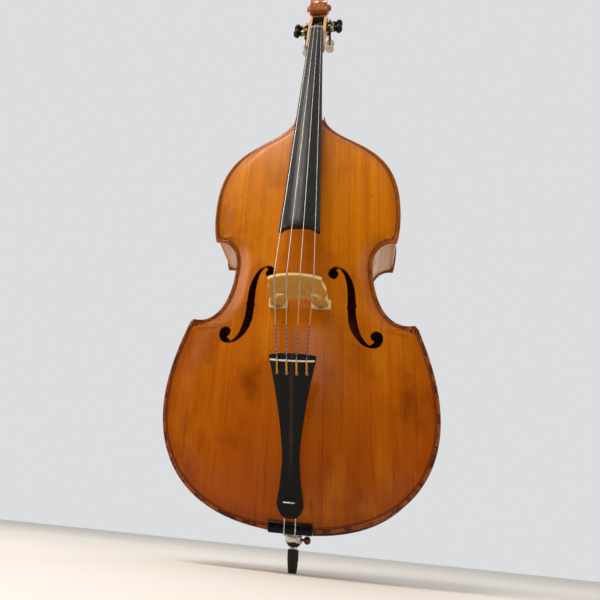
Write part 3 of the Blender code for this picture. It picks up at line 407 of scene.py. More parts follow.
world = bpy.data.worlds.new("room_light")
bpy.context.scene.world = world
world.use_nodes = True
sky = world.node_tree
towards = node(sky, "SeparateXYZ", {"Vector": node(sky, "TexCoord").outputs["Generated"]})
in_front = both(sky, (towards.outputs["Y"], -0.75, -0.2, 1.0, 0.0),
                (towards.outputs["Z"], 0.5, 0.85, 1.0, 0.0))
room = node(sky, "Mix", {0: in_front, 6: linear("F2F4F8"), 7: linear("332C28")},
            data_type="RGBA").outputs[2]
seen = node(sky, "LightPath").outputs["Is Camera Ray"]
sky.links.new(node(sky, "Mix", {0: seen, 6: room, 7: linear("F3F4F6")}, data_type="RGBA").outputs[2],
              sky.nodes["Background"].inputs["Color"])
sky.nodes["Background"].inputs["Strength"].default_value = 0.80


def lamp(name, place, target, width, height, power, colour):
    """A soft rectangular lamp that points at a place."""
    light = bpy.data.lights.new(name, "AREA")
    light.shape = "RECTANGLE"
    light.size, light.size_y = width, height
    light.energy = power
    light.color = linear(colour)[:3]
    obj = bpy.data.objects.new(name, light)
    obj.location = place
    obj.rotation_euler = (Vector(target) - Vector(place)).to_track_quat("-Z", "Y").to_euler()
    bpy.context.scene.collection.objects.link(obj)


lamp("overhead", (-1.1, -1.7, 3.9), (0, 0, 0.7), 1.6, 1.2, 88, "FFF9F0")
lamp("window", (-2.6, -1.3, 1.9), (0, 0, 0.8), 1.0, 1.4, 30, "FFF8EE")
lamp("fill", (2.8, -1.4, 1.2), (0, 0, 0.7), 1.4, 1.8, 18, "F4F7FF")
lamp("front", (-0.04, -3.4, 1.42), (0, 0, 0.5), 0.16, 0.6, 9, "FFF2E6")
print("light: overhead, window and two fills in a pale room")

# %% [markdown]
# The belly is spruce under an old amber varnish.  Spruce splits straight, so its year rings run
# up the plate as fine lines; they are 1 to 3 mm apart, and are drawn a little coarser here so
# that they show.  Varnish wears and darkens where hands and bows touch it: the raised edge is
# almost purple-brown, with bare chips, and smoke-like patches cross the lower half.

# %% Varnished spruce
def edge_distance(tree):
    """How many mm a place lies from the outline, as kept on the mesh."""
    return node(tree, "Attribute", attribute_name="edge_mm").outputs["Fac"]


def band(tree, low_mm, high_mm, soft_mm=0.25):
    """1 where the distance from the edge lies between two values."""
    kept = edge_distance(tree)
    return both(tree, (kept, low_mm - soft_mm, low_mm + soft_mm),
                (kept, high_mm - soft_mm, high_mm + soft_mm, 1.0, 0.0))


def varnished_spruce():
    """Amber varnish: a warm base, painted highlight and shade, honey, smoke, rings, pores, stains, marks."""
    tree, shader, made = finish("varnished_spruce", 0.36, Coat_Weight=0.22, Coat_Roughness=0.24,
                                Coat_IOR=1.5, Specular_IOR_Level=0.25, Specular_Tint=linear("E08830"))
    height = node(tree, "SeparateXYZ", {"Vector": node(tree, "TexCoord").outputs["Object"]})
    # The base is darker towards the bottom and lighter towards the top: partly the varnish's own tone, partly
    # a painted highlight on the upper bout.
    up = node(tree, "MapRange", {"Value": height.outputs["Z"], "From Min": 0.08, "From Max": 0.95},
              interpolation_type="SMOOTHSTEP").outputs["Result"]
    base = node(tree, "Mix", {0: up, 6: linear("9E4602"), 7: linear("D67C08")},
                data_type="RGBA").outputs[2]
    streaks = pattern(tree, (24, 60, 900), 4.0)
    base = layer(tree, base, "8A3C02", streaks, 0.38, 0.7, 0.0, 0.3)
    honey = pattern(tree, (110, 200, 260), 3.0)
    base = layer(tree, base, "D07E10", honey, 0.48, 0.75, 0.0, 0.5)
    smoke = pattern(tree, (150, 200, 200), 5.0, 0.62)
    smoke = both(tree, (smoke, 0.47, 0.72), (height.outputs["Z"], 0.15, 1.25, 0.75, 0.25))
    base = node(tree, "Mix", {0: smoke, 6: base, 7: linear("6A2402")}, data_type="RGBA").outputs[2]
    rings = pattern(tree, (2.2, 60, 900), 2.0)
    base = layer(tree, base, "742C02", rings, 0.42, 0.66, 0.0, 0.27)
    pores = pattern(tree, (1.6, 30, 34), 3.0, 0.7)
    base = layer(tree, base, "6A2802", pores, 0.5, 0.72, 0.0, 0.24)
    stain = pattern(tree, (9, 60, 150), 4.0, 0.65)
    stain = both(tree, (stain, 0.52, 0.72), (height.outputs["Z"], 0.1, 0.5, 0.55, 0.06))
    base = node(tree, "Mix", {0: stain, 6: base, 7: linear("5E2004")}, data_type="RGBA").outputs[2]
    # Painted shade: down the middle, as wide as the fingerboard, the belly is darkened under the board and
    # fades out below its end.
    off_centre = node(tree, "Math", {0: height.outputs["X"]}, operation="ABSOLUTE").outputs["Value"]
    painted_board_shade = both(tree, (off_centre, 0.02, 0.075, 0.45, 0.0), (height.outputs["Z"], 0.5, 0.66))
    base = node(tree, "Mix", {0: painted_board_shade, 6: base, 7: linear("9A3A04")},
                data_type="RGBA").outputs[2]
    specks = node(tree, "TexVoronoi",
                  {"Vector": sized(tree, (34, 34, 34)), "Scale": 1.0,
                   "Randomness": 1.0}).outputs["Distance"]
    rare = pattern(tree, (60, 60, 60), 1.0)
    specks = both(tree, (specks, 0.03, 0.075, 0.8, 0.0), (rare, 0.56, 0.6))
    base = node(tree, "Mix", {0: specks, 6: base, 7: linear("35120A")}, data_type="RGBA").outputs[2]
    nicks = node(tree, "TexVoronoi",
                 {"Vector": sized(tree, (44, 80, 12)), "Scale": 1.0,
                  "Randomness": 1.0}).outputs["Distance"]
    nicked = pattern(tree, (110, 110, 90), 2.0)
    nicks = both(tree, (nicks, 0.05, 0.12, 0.75, 0.0), (nicked, 0.48, 0.54))
    base = node(tree, "Mix", {0: nicks, 6: base, 7: linear("4A1808")}, data_type="RGBA").outputs[2]
    base = node(tree, "Mix", {0: old_cracks(tree), 6: base, 7: linear("2E0F06")},
                data_type="RGBA").outputs[2]
    base = layer(tree, base, "7C3206", edge_distance(tree), 4, 40, 0.4, 0.0)
    base = purfled_edge(tree, base, "8A421A", "34120F")
    tree.links.new(base, shader.inputs["Base Color"])
    wear = pattern(tree, (26, 26, 60), 4.0)
    gloss = node(tree, "MapRange",
                 {"Value": wear, "From Min": 0.35, "From Max": 0.75, "To Min": 0.32, "To Max": 0.5},
                 interpolation_type="SMOOTHSTEP").outputs["Result"]
    tree.links.new(gloss, shader.inputs["Roughness"])
    hollows = node(tree, "Math", {0: wear, 1: 1.6}, operation="MULTIPLY").outputs["Value"]
    relief = node(tree, "Math", {0: rings, 1: hollows}, operation="ADD").outputs["Value"]
    raised = node(tree, "Bump", {"Height": relief, "Distance": 0.35 / 1000, "Strength": 0.3})
    tree.links.new(raised.outputs["Normal"], shader.inputs["Normal"])
    return made


CRACKS = (                              # x, low z, high z, lean, width in mm
    (0.066, 0.080, 0.50, -0.004, 0.8), (-0.215, 0.20, 0.40, 0.018, 0.6), (0.190, 0.50, 0.575, 0.006, 0.8),
)


def old_cracks(tree):
    """Long closed cracks that run with the grain, each a thin wavering dark line."""
    place = node(tree, "SeparateXYZ", {"Vector": node(tree, "TexCoord").outputs["Object"]})
    waver = pattern(tree, (900, 900, 45), 3.0)
    total = 0.0
    for x, low, high, lean, width in CRACKS:
        climb = node(tree, "Math", {0: place.outputs["Z"], 1: low}, operation="SUBTRACT").outputs["Value"]
        leaning = node(tree, "Math", {0: climb, 1: lean / (high - low)}, operation="MULTIPLY")
        wavering = node(tree, "Math", {0: waver, 1: 0.012}, operation="MULTIPLY")
        line = node(tree, "Math", {0: leaning.outputs["Value"], 1: wavering.outputs["Value"]},
                    operation="ADD").outputs["Value"]
        across = node(tree, "Math", {0: place.outputs["X"], 1: x - 0.006}, operation="SUBTRACT")
        off = node(tree, "Math", {0: across.outputs["Value"], 1: line}, operation="SUBTRACT")
        off = node(tree, "Math", {0: off.outputs["Value"]}, operation="ABSOLUTE").outputs["Value"]
        near = node(tree, "MapRange",
                    {"Value": off, "From Min": 0.0004 * width, "From Max": 0.0011 * width,
                     "To Min": 0.62, "To Max": 0.0}, interpolation_type="SMOOTHSTEP").outputs["Result"]
        inside = both(tree, (place.outputs["Z"], low, low + 0.03),
                      (place.outputs["Z"], high - 0.04, high, 1.0, 0.0))
        dark = node(tree, "Math", {0: near, 1: inside}, operation="MULTIPLY").outputs["Value"]
        total = node(tree, "Math", {0: dark, 1: total}, operation="MAXIMUM").outputs["Value"]
    return total


def purfled_edge(tree, base, light, dark):
    """The inlaid line (dark, pale, dark) and the worn, darker rim outside it."""
    chips = pattern(tree, (26, 26, 26), 5.0, 0.7)
    rim = layer(tree, linear(dark), light, chips, 0.44, 0.56)
    low = node(tree, "SeparateXYZ", {"Vector": node(tree, "TexCoord").outputs["Object"]})
    worn = both(tree, (edge_distance(tree), 6.2, 8.4, 1.0, 0.0),
                (low.outputs["Z"], 0.35, 0.95, 0.92, 0.45))
    base = node(tree, "Mix", {0: worn, 6: base, 7: rim}, data_type="RGBA").outputs[2]
    base = node(tree, "Mix", {0: band(tree, 7.6, 9.2), 6: base, 7: linear("1C0A06")},
                data_type="RGBA").outputs[2]
    return node(tree, "Mix", {0: band(tree, 10.6, 12.0), 6: base, 7: linear("1C0A06")},
                data_type="RGBA").outputs[2]


SPRUCE = varnished_spruce()


# %% [markdown]
# Maple for the back, ribs, neck and scroll.  Its fibres wave, so light and dark bars lie across
# the grain: the flame.  The bars are 8 to 20 mm apart.  The ribs are painted a pale tan: their own
# tan, lightened as a painted reflection of the pale room.  The back and the scroll keep a red-brown
# varnish.

# %% Flamed maple
def flamed_maple(name, light, dark, bar, pore, shine, edge=False):
    """bar and pore are the sizes in mm of one flame bar and of the fine grain, for x, y and z."""
    tree, shader, made = finish(name, 0.38, Coat_Weight=shine, Coat_Roughness=0.16,
                                Specular_IOR_Level=0.45)
    flame = pattern(tree, bar, 3.0)
    base = layer(tree, linear(light), dark, flame, 0.34, 0.66)
    cloud = pattern(tree, (150, 150, 240), 3.0)
    base = layer(tree, base, dark, cloud, 0.45, 0.75, 0.0, 0.4)
    pores = pattern(tree, pore, 2.0)
    base = layer(tree, base, "3A1608", pores, 0.55, 0.72, 0.0, 0.3)
    if edge:
        base = purfled_edge(tree, base, "6E3416", "34130E")
    tree.links.new(base, shader.inputs["Base Color"])
    tree.links.new(node(tree, "MapRange",
                        {"Value": cloud, "From Min": 0.3, "From Max": 0.8, "To Min": 0.26,
                         "To Max": 0.46}, interpolation_type="SMOOTHSTEP").outputs["Result"],
                   shader.inputs["Roughness"])
    tree.links.new(node(tree, "Bump",
                        {"Height": pores, "Distance": 0.12 / 1000, "Strength": 0.3}).outputs["Normal"],
                   shader.inputs["Normal"])
    return made


# The back shows wide bars under a glossy red-brown varnish; the ribs are painted pale, partly as a
# painted reflection, and run their bars across; the neck is bare, oiled by hands; the scroll's bars
# are narrow, since it is small.
BACK_MAPLE = flamed_maple("varnished_back_maple", "B4642A", "8A4218", (260, 90, 20), (3, 9, 80), 0.6, True)
# Painted reflection: the ribs' tan is lightened to stand for the pale room reflected in them.
RIB_MAPLE = flamed_maple("pale_rib_maple_painted_reflection", "D2A274", "B88552", (22, 400, 22), (60, 60, 2.5), 0.5)
NECK_MAPLE = flamed_maple("bare_neck_maple", "B06A30", "8A4818", (200, 200, 14), (3, 3, 60), 0.35)
SCROLL_MAPLE = flamed_maple("varnished_scroll_maple", "C07430", "8C4618", (90, 60, 11), (2.5, 5, 50), 0.6)


# %% [markdown]
# Wood that was never varnished, or that has lost it, shows its own pale colour and fine straight
# grain, with little gloss.  The blocks, the bass bar and the sound post inside are plain spruce;
# they are the frame's own solids, since they can hardly be seen, and only get this finish.

# %% Plain woods inside and on the pegbox's worn edges
def plain_wood(name, light, dark, grain, roughness=0.55, depth=0.15):
    """Unvarnished wood: fine grain lines over a slow change of tone."""
    tree, shader, made = finish(name, roughness, Specular_IOR_Level=0.35)
    fine = pattern(tree, grain, 4.0)
    slow = pattern(tree, (70, 70, 110), 2.0)
    base = layer(tree, linear(light), dark, fine, 0.3, 0.7)
    base = layer(tree, base, dark, slow, 0.4, 0.7, 0.0, 0.35)
    tree.links.new(base, shader.inputs["Base Color"])
    tree.links.new(node(tree, "Bump",
                        {"Height": fine, "Distance": depth / 1000, "Strength": 0.35}).outputs["Normal"],
                   shader.inputs["Normal"])
    return made


# Planed spruce inside, and maple rubbed bare on the pegbox's front edges.
INSIDE_WOOD = plain_wood("raw_spruce_inside", "C9A36B", "A67E48", (4, 4, 90))
WORN_MAPLE = plain_wood("worn_pegbox_maple", "D9A766", "BE8444", (2, 2, 40), 0.45)
for part in ("corner_block_lower_bass", "corner_block_lower_treble", "corner_block_upper_bass",
             "corner_block_upper_treble", "end_block", "neck_block", "bass_bar", "sound_post"):
    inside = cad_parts[part]
    inside.data.materials.clear()
    inside.data.materials.append(INSIDE_WOOD)
print("wood finishes made")

# %% [markdown]
# The outline is the shape that everybody knows: two round bouts, a narrow waist and four pointed
# corners.  Nine cubic curves draw one half.  Both plates, all six ribs and the inlaid line follow
# it, so it is written once.

# %% The outline of the body
OUTLINE = (                             # start, two handles, end, steps, aim on the centre line
    ((0.000, 0.000), (0.243, 0.000), (0.319, 0.135), (0.319, 0.266), 30, 0.260),
    ((0.319, 0.266), (0.319, 0.341), (0.296, 0.411), (0.280, 0.459), 16, 0.400),
    ((0.280, 0.459), (0.278, 0.462), (0.275, 0.466), (0.273, 0.468), 2, 0.405),
    ((0.273, 0.468), (0.193, 0.454), (0.175, 0.558), (0.175, 0.619), 22, 0.610),
    ((0.175, 0.619), (0.175, 0.656), (0.196, 0.693), (0.236, 0.688), 14, 0.735),
    ((0.236, 0.688), (0.237, 0.691), (0.238, 0.694), (0.239, 0.697), 2, 0.740),
    ((0.239, 0.697), (0.247, 0.731), (0.248, 0.759), (0.248, 0.791), 8, 0.800),
    ((0.248, 0.791), (0.248, 0.914), (0.200, 0.964), (0.136, 1.004), 18, 0.970),
    ((0.136, 1.004), (0.106, 1.023), (0.043, 1.056), (0.043, 1.100), 14, 0.985),
)
SPINE_LOW = 0.120
BELLY_ARCH = 0.030
BACK_ARCH = 0.034
OVERHANG = 0.005
RIB = 0.003
EDGE_FADE = 0.25


def bezier(p0, p1, p2, p3, t):
    """A point on a cubic curve."""
    s = 1 - t
    weights = (s ** 3, 3 * s * s * t, 3 * s * t * t, t ** 3)
    return tuple(sum(w * p[i] for w, p in zip(weights, (p0, p1, p2, p3))) for i in (0, 1))


def half_outline(first=0, last=9):
    """(x, z, aim, is tip) up one side."""
    points = []
    aim = OUTLINE[first - 1][5] if first else SPINE_LOW
    for index in range(first, last):
        p0, p1, p2, p3, steps, end_aim = OUTLINE[index]
        for i in range(steps):
            t = i / steps
            points.append((*bezier(p0, p1, p2, p3, t), aim + (end_aim - aim) * t, index in (2, 5)))
        aim = end_aim
    points.append((*OUTLINE[last - 1][3], aim, False))
    return points


def inset(points, distance):
    """(x, z) pairs of one side, moved into the body."""
    moved = []
    for i, (x, z) in enumerate(points):
        before, after = points[max(i - 1, 0)], points[min(i + 1, len(points) - 1)]
        along = Vector((after[0] - before[0], after[1] - before[1])).normalized()
        moved.append((x - along.y * distance, z + along.x * distance))
    return moved


def smooth(value):
    """0 below 0, 1 above 1, and an S curve between."""
    value = min(max(value, 0.0), 1.0)
    return value * value * (3 - 2 * value)


def arch(x, z, height):
    """How far the arching stands over the plate's edge."""
    width = 0.330 - 0.135 * smooth((z - 0.30) / 0.28) + 0.065 * smooth((z - 0.62) / 0.20)
    across = max(1 - (x / width) ** 2, 0.0)
    along = 1 - abs((z - 0.53) / 0.58) ** 3
    return height * across * along


# %% [markdown]
# Each plate is carved from thick wood: arched in the middle, with a hollow channel near the edge
# and a rounded raised rim.  The mesh is a set of rings.  Near the edge they keep a true distance
# from it, so that the inlaid line stays even; further in they close up on the centre line.

# %% The two plates
RIM = (                                 # distance from the edge and height of the rim there, mm
    (0.0, -3.2), (0.6, -1.3), (1.8, -0.1), (3.4, 0.35), (5.4, 0.1), (7.4, -0.7), (9.2, -1.1),
    (11.6, -1.2), (15.0, -0.9), (20.0, -0.3),
)
INNER_STEPS = 16
INNER_RINGS = (0.0, 0.04, 0.12, 0.24, 0.45, 0.7, 1.0)


def plate(name, height, outwards, button, finish_used, node_name):
    """A carved plate: outer and inner skin with a rounded rim."""
    side = half_outline()
    if button:
        for angle in range(0, 91, 6):
            bend = math.radians(angle)
            side.append((0.026 * math.cos(bend), BODY_LENGTH + 0.028 * math.sin(bend), 0.985, False))
    else:
        side += [(0.043 * (1 - i / 6), BODY_LENGTH, 0.985, False) for i in range(1, 7)]
    loop = side + [(-x, z, aim, tip) for x, z, aim, tip in side[-2:0:-1]]
    count = len(loop)
    reach = []
    for i, (x, z, aim, _) in enumerate(loop):
        before, after = loop[i - 1], loop[(i + 1) % count]
        along = Vector((after[0] - before[0], after[1] - before[1])).normalized()
        towards = Vector((-x, aim - z))
        square = abs(towards.normalized().dot(Vector((-along.y, along.x))))
        reach.append(0.001 / (max(square, 0.30) * towards.length))
    tips = [i for i in range(count) if loop[i][3]]
    for i in tips:
        reach[i] = max(reach[(i - 3) % count], reach[(i + 3) % count])
    edge_y = 0.0 if outwards < 0 else BODY_DEPTH

    def ring(share_at, lift_mm, depth):
        row = []
        for i, (x, z, aim, _) in enumerate(loop):
            t = min(share_at(i), 1.0)
            px, pz = x * (1 - t), z + (aim - z) * t
            rise = arch(px, pz, height) * smooth(t / EDGE_FADE) + lift_mm / 1000
            row.append(at(px, edge_y + outwards * (rise - depth), pz))
        return row

    start = RIM[-1][0]
    outer = [ring(lambda i, mm=mm: reach[i] * mm, lift, 0.0) for mm, lift in RIM]
    for k in range(1, INNER_STEPS + 1):
        share = (k / INNER_STEPS) ** 1.25
        outer.append(ring(lambda i, s=share: reach[i] * start * (1 - s) + s, -0.3 * (1 - share) ** 6, 0.0))
    inner = [ring(lambda i, s=s: reach[i] * 0.6 * (1 - s) + s, 0.0, PLATE) for s in INNER_RINGS]
    inner.insert(0, ring(lambda i: 0.0, -1.6, PLATE - 0.0034))
    points, faces = skin(list(reversed(outer)) + inner, caps=False)
    return dress(name, tool_mesh(points, faces), finish_used, "root", (node_name,), 35)


def keep_edge_distance(obj):
    """Store how many millimetres each point lies from the outline, for the finish to use."""
    edge = half_outline()
    line = np.array([(x, z + BODY_BOTTOM) for x, z, _, _ in edge])
    start, step = line[:-1], line[1:] - line[:-1]
    co = np.empty(len(obj.data.vertices) * 3)
    obj.data.vertices.foreach_get("co", co)
    places = np.abs(co.reshape(-1, 3)[:, [0, 2]])
    off = places[:, None, :] - start[None]
    share = np.clip((off * step).sum(2) / (step * step).sum(1), 0, 1)
    gap = np.linalg.norm(off - share[:, :, None] * step[None], axis=2).min(1)
    kept = obj.data.attributes.new("edge_mm", "FLOAT", "POINT")
    kept.data.foreach_set("value", (gap * 1000).astype(np.float32))


belly = plate("belly", BELLY_ARCH, -1, False, SPRUCE, "top_plate")
back = plate("back", BACK_ARCH, 1, True, BACK_MAPLE, "back_plate")
keep_edge_distance(back)
print("plates:", len(belly.data.polygons), "and", len(back.data.polygons), "faces")

# %% [markdown]
# The sound holes are cut right through.  Each is an S with a round eye at both ends, wings beside
# the eyes, and two small nicks half way down that mark where the bridge stands.  The outline has
# about thirty points; curves round it off except where the wood comes to a point.

# %% The sound holes
SOUND_HOLE = (
    (0.085, 0.609, 0), (0.107, 0.601, 0), (0.124, 0.575, 0), (0.132, 0.544, 0), (0.134, 0.512, 1),
    (0.137, 0.507, 1), (0.134, 0.501, 1), (0.136, 0.472, 0), (0.145, 0.435, 0), (0.158, 0.415, 0),
    (0.166, 0.409, 1), (0.179, 0.420, 1), (0.168, 0.433, 0), (0.180, 0.446, 0), (0.197, 0.430, 0),
    (0.190, 0.409, 0), (0.172, 0.402, 0), (0.149, 0.409, 0), (0.128, 0.432, 0), (0.117, 0.460, 0),
    (0.114, 0.498, 1), (0.111, 0.502, 1), (0.114, 0.506, 1), (0.113, 0.547, 0), (0.106, 0.585, 0),
    (0.092, 0.604, 1), (0.083, 0.596, 1), (0.090, 0.584, 0), (0.079, 0.573, 0), (0.066, 0.588, 0),
    (0.072, 0.603, 0),
)
HOLE_EYES = ((0.0785, 0.5875, 0.0128), (0.1825, 0.4315, 0.0145))   # x, height, radius


def rounded_loop(anchors, steps):
    """A closed outline: smooth where the flag is 0, sharp where it is 1."""
    count = len(anchors)
    points = []
    for i, (x1, z1, sharp1) in enumerate(anchors):
        x0, z0, _ = anchors[i - 1]
        x2, z2, sharp2 = anchors[(i + 1) % count]
        x3, z3, _ = anchors[(i + 2) % count]
        points.append((x1, z1))
        if sharp1 and sharp2:
            continue
        out_x, out_z = (0, 0) if sharp1 else ((x2 - x0) / 6, (z2 - z0) / 6)
        in_x, in_z = (0, 0) if sharp2 else ((x3 - x1) / 6, (z3 - z1) / 6)
        for k in range(1, steps):
            points.append(bezier((x1, z1), (x1 + out_x, z1 + out_z),
                                 (x2 - in_x, z2 - in_z), (x2, z2), k / steps))
    return points


for _, side in SIDES:
    loop = rounded_loop(SOUND_HOLE, 6)
    rings = [[at(side * x, y, z) for x, z in loop] for y in (-0.06, 0.03)]
    points, faces = skin(rings)
    cut(belly, tool_mesh(points, faces))
    for x, z, radius in HOLE_EYES:
        drilled(belly, radius, at(side * x, 0, z), OUT, 40, -0.03, 0.06)
neck_slot = [[at(x, y, z) for x, y in ((-0.040, -0.04), (0.040, -0.04), (0.040, 0.02), (-0.040, 0.02))]
             for z in (BODY_LENGTH - 0.021, BODY_LENGTH + 0.02)]
cut(belly, tool_mesh(*skin(neck_slot)))
saddle_low, saddle_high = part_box("saddle")
corners = [(saddle_low[0] - GAP, -0.04), (saddle_high[0] + GAP, -0.04),
           (saddle_high[0] + GAP, 0.02), (saddle_low[0] - GAP, 0.02)]
rest = [[at(x, y, z) for x, y in corners] for z in (-0.02, saddle_high[2] - BODY_BOTTOM + GAP)]
cut(belly, tool_mesh(*skin(rest)))
belly.data.shade_smooth()
belly.data.set_sharp_from_angle(angle=math.radians(35))
keep_edge_distance(belly)
print("belly with its holes:", len(belly.data.polygons), "faces")

# %% [markdown]
# Six thin ribs are bent over a hot iron and glued between the plates.  Each is a closed strip,
# 3 mm thick, that follows its own stretch of the outline just inside the plates' overhang.

# %% The ribs
RIB_SPANS = (("lower", 0, 2, 0.0005, 0.004), ("waist", 3, 5, 0.012, 0.012), ("upper", 6, 9, 0.004, 0.006))
RIB_LOW = PLATE + GAP
RIB_HIGH = BODY_DEPTH - PLATE - GAP


def trimmed(points, start, end):
    """A run of points, shortened at both ends along its length."""
    for amount in (start, end):
        points = points[:]
        while amount > 0:
            first, second = Vector(points[0]), Vector(points[1])
            step = (second - first).length
            if step > amount:
                points[0] = tuple(first + (second - first) * amount / step)
                break
            amount -= step
            points.pop(0)
        points.reverse()
    return points


for side_name, side in SIDES:
    for name, first, last, start, end in RIB_SPANS:
        outline = [p[:2] for p in half_outline(first, last)]
        outside = trimmed(inset(outline, OVERHANG), start, end)
        inside = inset(outside, RIB)
        rings = [[at(side * ox, RIB_LOW, oz), at(side * ox, RIB_HIGH, oz),
                  at(side * ix, RIB_HIGH, iz), at(side * ix, RIB_LOW, iz)]
                 for (ox, oz), (ix, iz) in zip(outside, inside)]
        points, faces = skin(rings)
        rib = f"rib_{name}_{side_name}"
        piece(f"bent_{rib}", points, faces, RIB_MAPLE, "root", (rib,))
print("six ribs")

# %% [markdown]
# The neck, its heel and the pegbox are one carved piece.  Sections are flat in front, where the
# board is glued, and round behind.  The pegbox is hollowed from the front, and the pegs' holes go
# through its cheeks.  Hands have worn the varnish off the front edges, so those are pale.

# %% The neck and the pegbox
# Painted shade: the pegbox's hollow gets a near-black maple that stands for the shade deep inside it.
PEGBOX_SHADE = plain_wood("pegbox_inside_painted_shade", "3A2013", "22120B", (3, 3, 40), 0.7)
BOARD_LENGTH = 0.905
BOARD_EDGE = 0.010
BOARD_RADIUS = 0.066
BOARD_HALF_NUT = 0.0215
BOARD_HALF_END = 0.0495
MACHINES = ((-1, 0.062), (1, 0.088), (-1, 0.114), (1, 0.140))
PEG_DEPTH = 0.026
PEG_RADIUS = 0.007
PEG_HOLE = 0.0074
CHEEK_X = 0.030
EYE = peg_point(0, 0.1865, -0.0155)


def board_half(t):
    """Half the fingerboard's width, t down from the nut."""
    return BOARD_HALF_NUT + (BOARD_HALF_END - BOARD_HALF_NUT) * t / BOARD_LENGTH


def crown(x, half, radius):
    """Height of a crowned surface at x, over its own edges at +-half."""
    return math.sqrt(radius ** 2 - x ** 2) - math.sqrt(radius ** 2 - half ** 2)


def u_section(front, back, half, power=2.6, sides=16):
    """A U-shaped ring: flat in front, round at the back."""
    ring = []
    for i in range(-sides, sides + 1):
        turn = math.pi / 2 * i / sides
        across = math.copysign(abs(math.sin(turn)) ** (2 / power), turn)
        point = front + (back - front) * math.cos(turn) ** (2 / power)
        ring.append(Vector((half * across, point.y, point.z)))
    return ring


def box_points(make_point, low, high):
    """Rings of a box in the axes of a point-making function."""
    return [[make_point(x, y, z) for x, y in ((low[0], low[1]), (high[0], low[1]),
                                              (high[0], high[1]), (low[0], high[1]))]
            for z in (low[2], high[2])]


rings = []
for s, half, depth in ((0.166, 0.0256, 0.036), (0.162, 0.0259, 0.043), (0.158, 0.0262, 0.050),
                       (0.150, 0.0275, 0.0575), (0.130, 0.0280, 0.059), (0.110, 0.0285, 0.060),
                       (0.060, 0.0298, 0.064), (0.020, 0.0300, 0.067)):
    rings.append(u_section(peg_point(0, s, 0), peg_point(0, s, depth), half, 4.5))
for t, half, depth in ((0.004, 0.0305, 0.066), (0.016, 0.0310, 0.062), (0.050, 0.0310, 0.050),
                       (0.074, 0.0308, 0.040), (0.082, 0.0300, 0.036), (0.0855, 0.0272, 0.0300)):
    rings.append(u_section(neck_point(0, t, -0.002), neck_point(0, t, -depth), half, 4.5))
body_t = (NUT[1] - BODY_LENGTH) / math.cos(NECK_ANGLE)
for t, depth in ((0.088, 0.0260), (0.13, 0.0268), (0.20, 0.029), (0.26, 0.0312), (0.31, 0.034)):
    rings.append(u_section(neck_point(0, t, 0), neck_point(0, t, -depth), board_half(t)))
heel_start = neck_point(0, 0.31, -0.034)
heel_end = at(0, BODY_DEPTH - PLATE - GAP, BODY_LENGTH + 0.030)
for i in range(1, 13):
    t = 0.31 + (body_t - 0.010 - 0.31) * i / 12
    y, z = bezier((heel_start.y, heel_start.z), (heel_start.y - 0.014, heel_start.z - 0.070),
                  (heel_end.y - 0.075, heel_end.z + 0.004), (heel_end.y, heel_end.z), i / 12)
    rings.append(u_section(neck_point(0, t, 0), Vector((0, y, z)), board_half(t)))
root_half = board_half(body_t) - 0.002
for z in (BODY_LENGTH + 0.003, BODY_LENGTH - 0.020):
    rings.append(u_section(at(0, -0.0200, z), at(0, BODY_DEPTH - PLATE - GAP, z), root_half))
points, faces = skin(rings)
NECK_FINISHES = (SCROLL_MAPLE, WORN_MAPLE, NECK_MAPLE, PEGBOX_SHADE)
neck = piece("carved_neck", points, faces, NECK_FINISHES, "root", ("neck",), 30)
hollow = box_points(lambda x, y, z: peg_point(x, z, y), (-0.020, -0.030, 0.014), (0.020, 0.046, 0.152))
cut(neck, tool_mesh(*skin(hollow)))
for side, s in MACHINES:
    drilled(neck, PEG_HOLE, peg_point(0, s, PEG_DEPTH), RIGHT, 20)
bevelled(neck, 0.0011, 2)
worn_top = peg_point(0, 0.160, 0).z
worn_low = neck_point(0, 0.088, 0).z
neck_out = neck_point(0, 0, 1) - neck_point(0, 0, 0)
for face in neck.data.polygons:
    centre = Vector(face.center)
    depth = (centre - peg_point(0, 0, 0)).dot(PEG_BACK)
    if centre.z < neck_point(0, 0, 0).z:
        depth = -(centre - neck_point(0, 0, 0)).dot(neck_out)
    faces_front = face.normal.dot(-PEG_BACK) > 0.55
    along = (centre - peg_point(0, 0, 0)).dot(PEG_UP)
    # Faces inside the pegbox's hollow get the near-black painted shade.
    if abs(centre.x) < 0.0205 and 0.002 < depth < 0.0475 and 0.013 < along < 0.153:
        face.material_index = NECK_FINISHES.index(PEGBOX_SHADE)
    elif worn_low < centre.z < worn_top and faces_front and depth < 0.005:
        face.material_index = NECK_FINISHES.index(WORN_MAPLE)
    elif neck_point(0, 0.36, 0).z < centre.z < neck_point(0, 0.10, 0).z:
        face.material_index = NECK_FINISHES.index(NECK_MAPLE)
print("neck:", len(neck.data.polygons), "faces")

# %% [markdown]
# The scroll is a strip that winds round an eye.  Its radius halves for each three quarters of a
# turn, while it grows wider, so each inner turn stands out past the one before.  The strip's
# outside is fluted: two channels with a ridge between them.

# %% The scroll
SCROLL_EASE = 0.0016                    # how far the strip's edges are rounded and its sides dished


def scroll_section(outer, inner, half, flute):
    """One ring of the strip, from a point on its outside to one on its inside."""
    across = (-1, -0.94, -0.80, -0.5, -0.16, 0, 0.16, 0.5, 0.80, 0.94, 1)
    sink = (0, 0.0, 0.3, 1, 0.35, 0.1, 0.35, 1, 0.3, 0.0, 0)
    inwards = (inner - outer).normalized()
    ring = []
    for share, low in zip(across, sink):
        drop = SCROLL_EASE if abs(share) == 1 else low * flute
        ring.append(Vector((half * share, 0, 0)) + outer + inwards * drop)
    reach = (inner - outer).length
    for side in (1, -1):
        shares = (0.10, 0.35, 0.72, 1.0) if side == 1 else (1.0, 0.72, 0.35, 0.10)
        for share in shares:
            dish = SCROLL_EASE * math.sin(math.pi * share) if share < 1 else 0.0
            ring.append(Vector((side * (half - dish), 0, 0)) + outer + inwards * reach * share)
    return ring


def in_scroll(u, v):
    """A point in the scroll's side plane, u up the pegbox and v back from the eye."""
    return EYE + PEG_UP * u + PEG_BACK * v


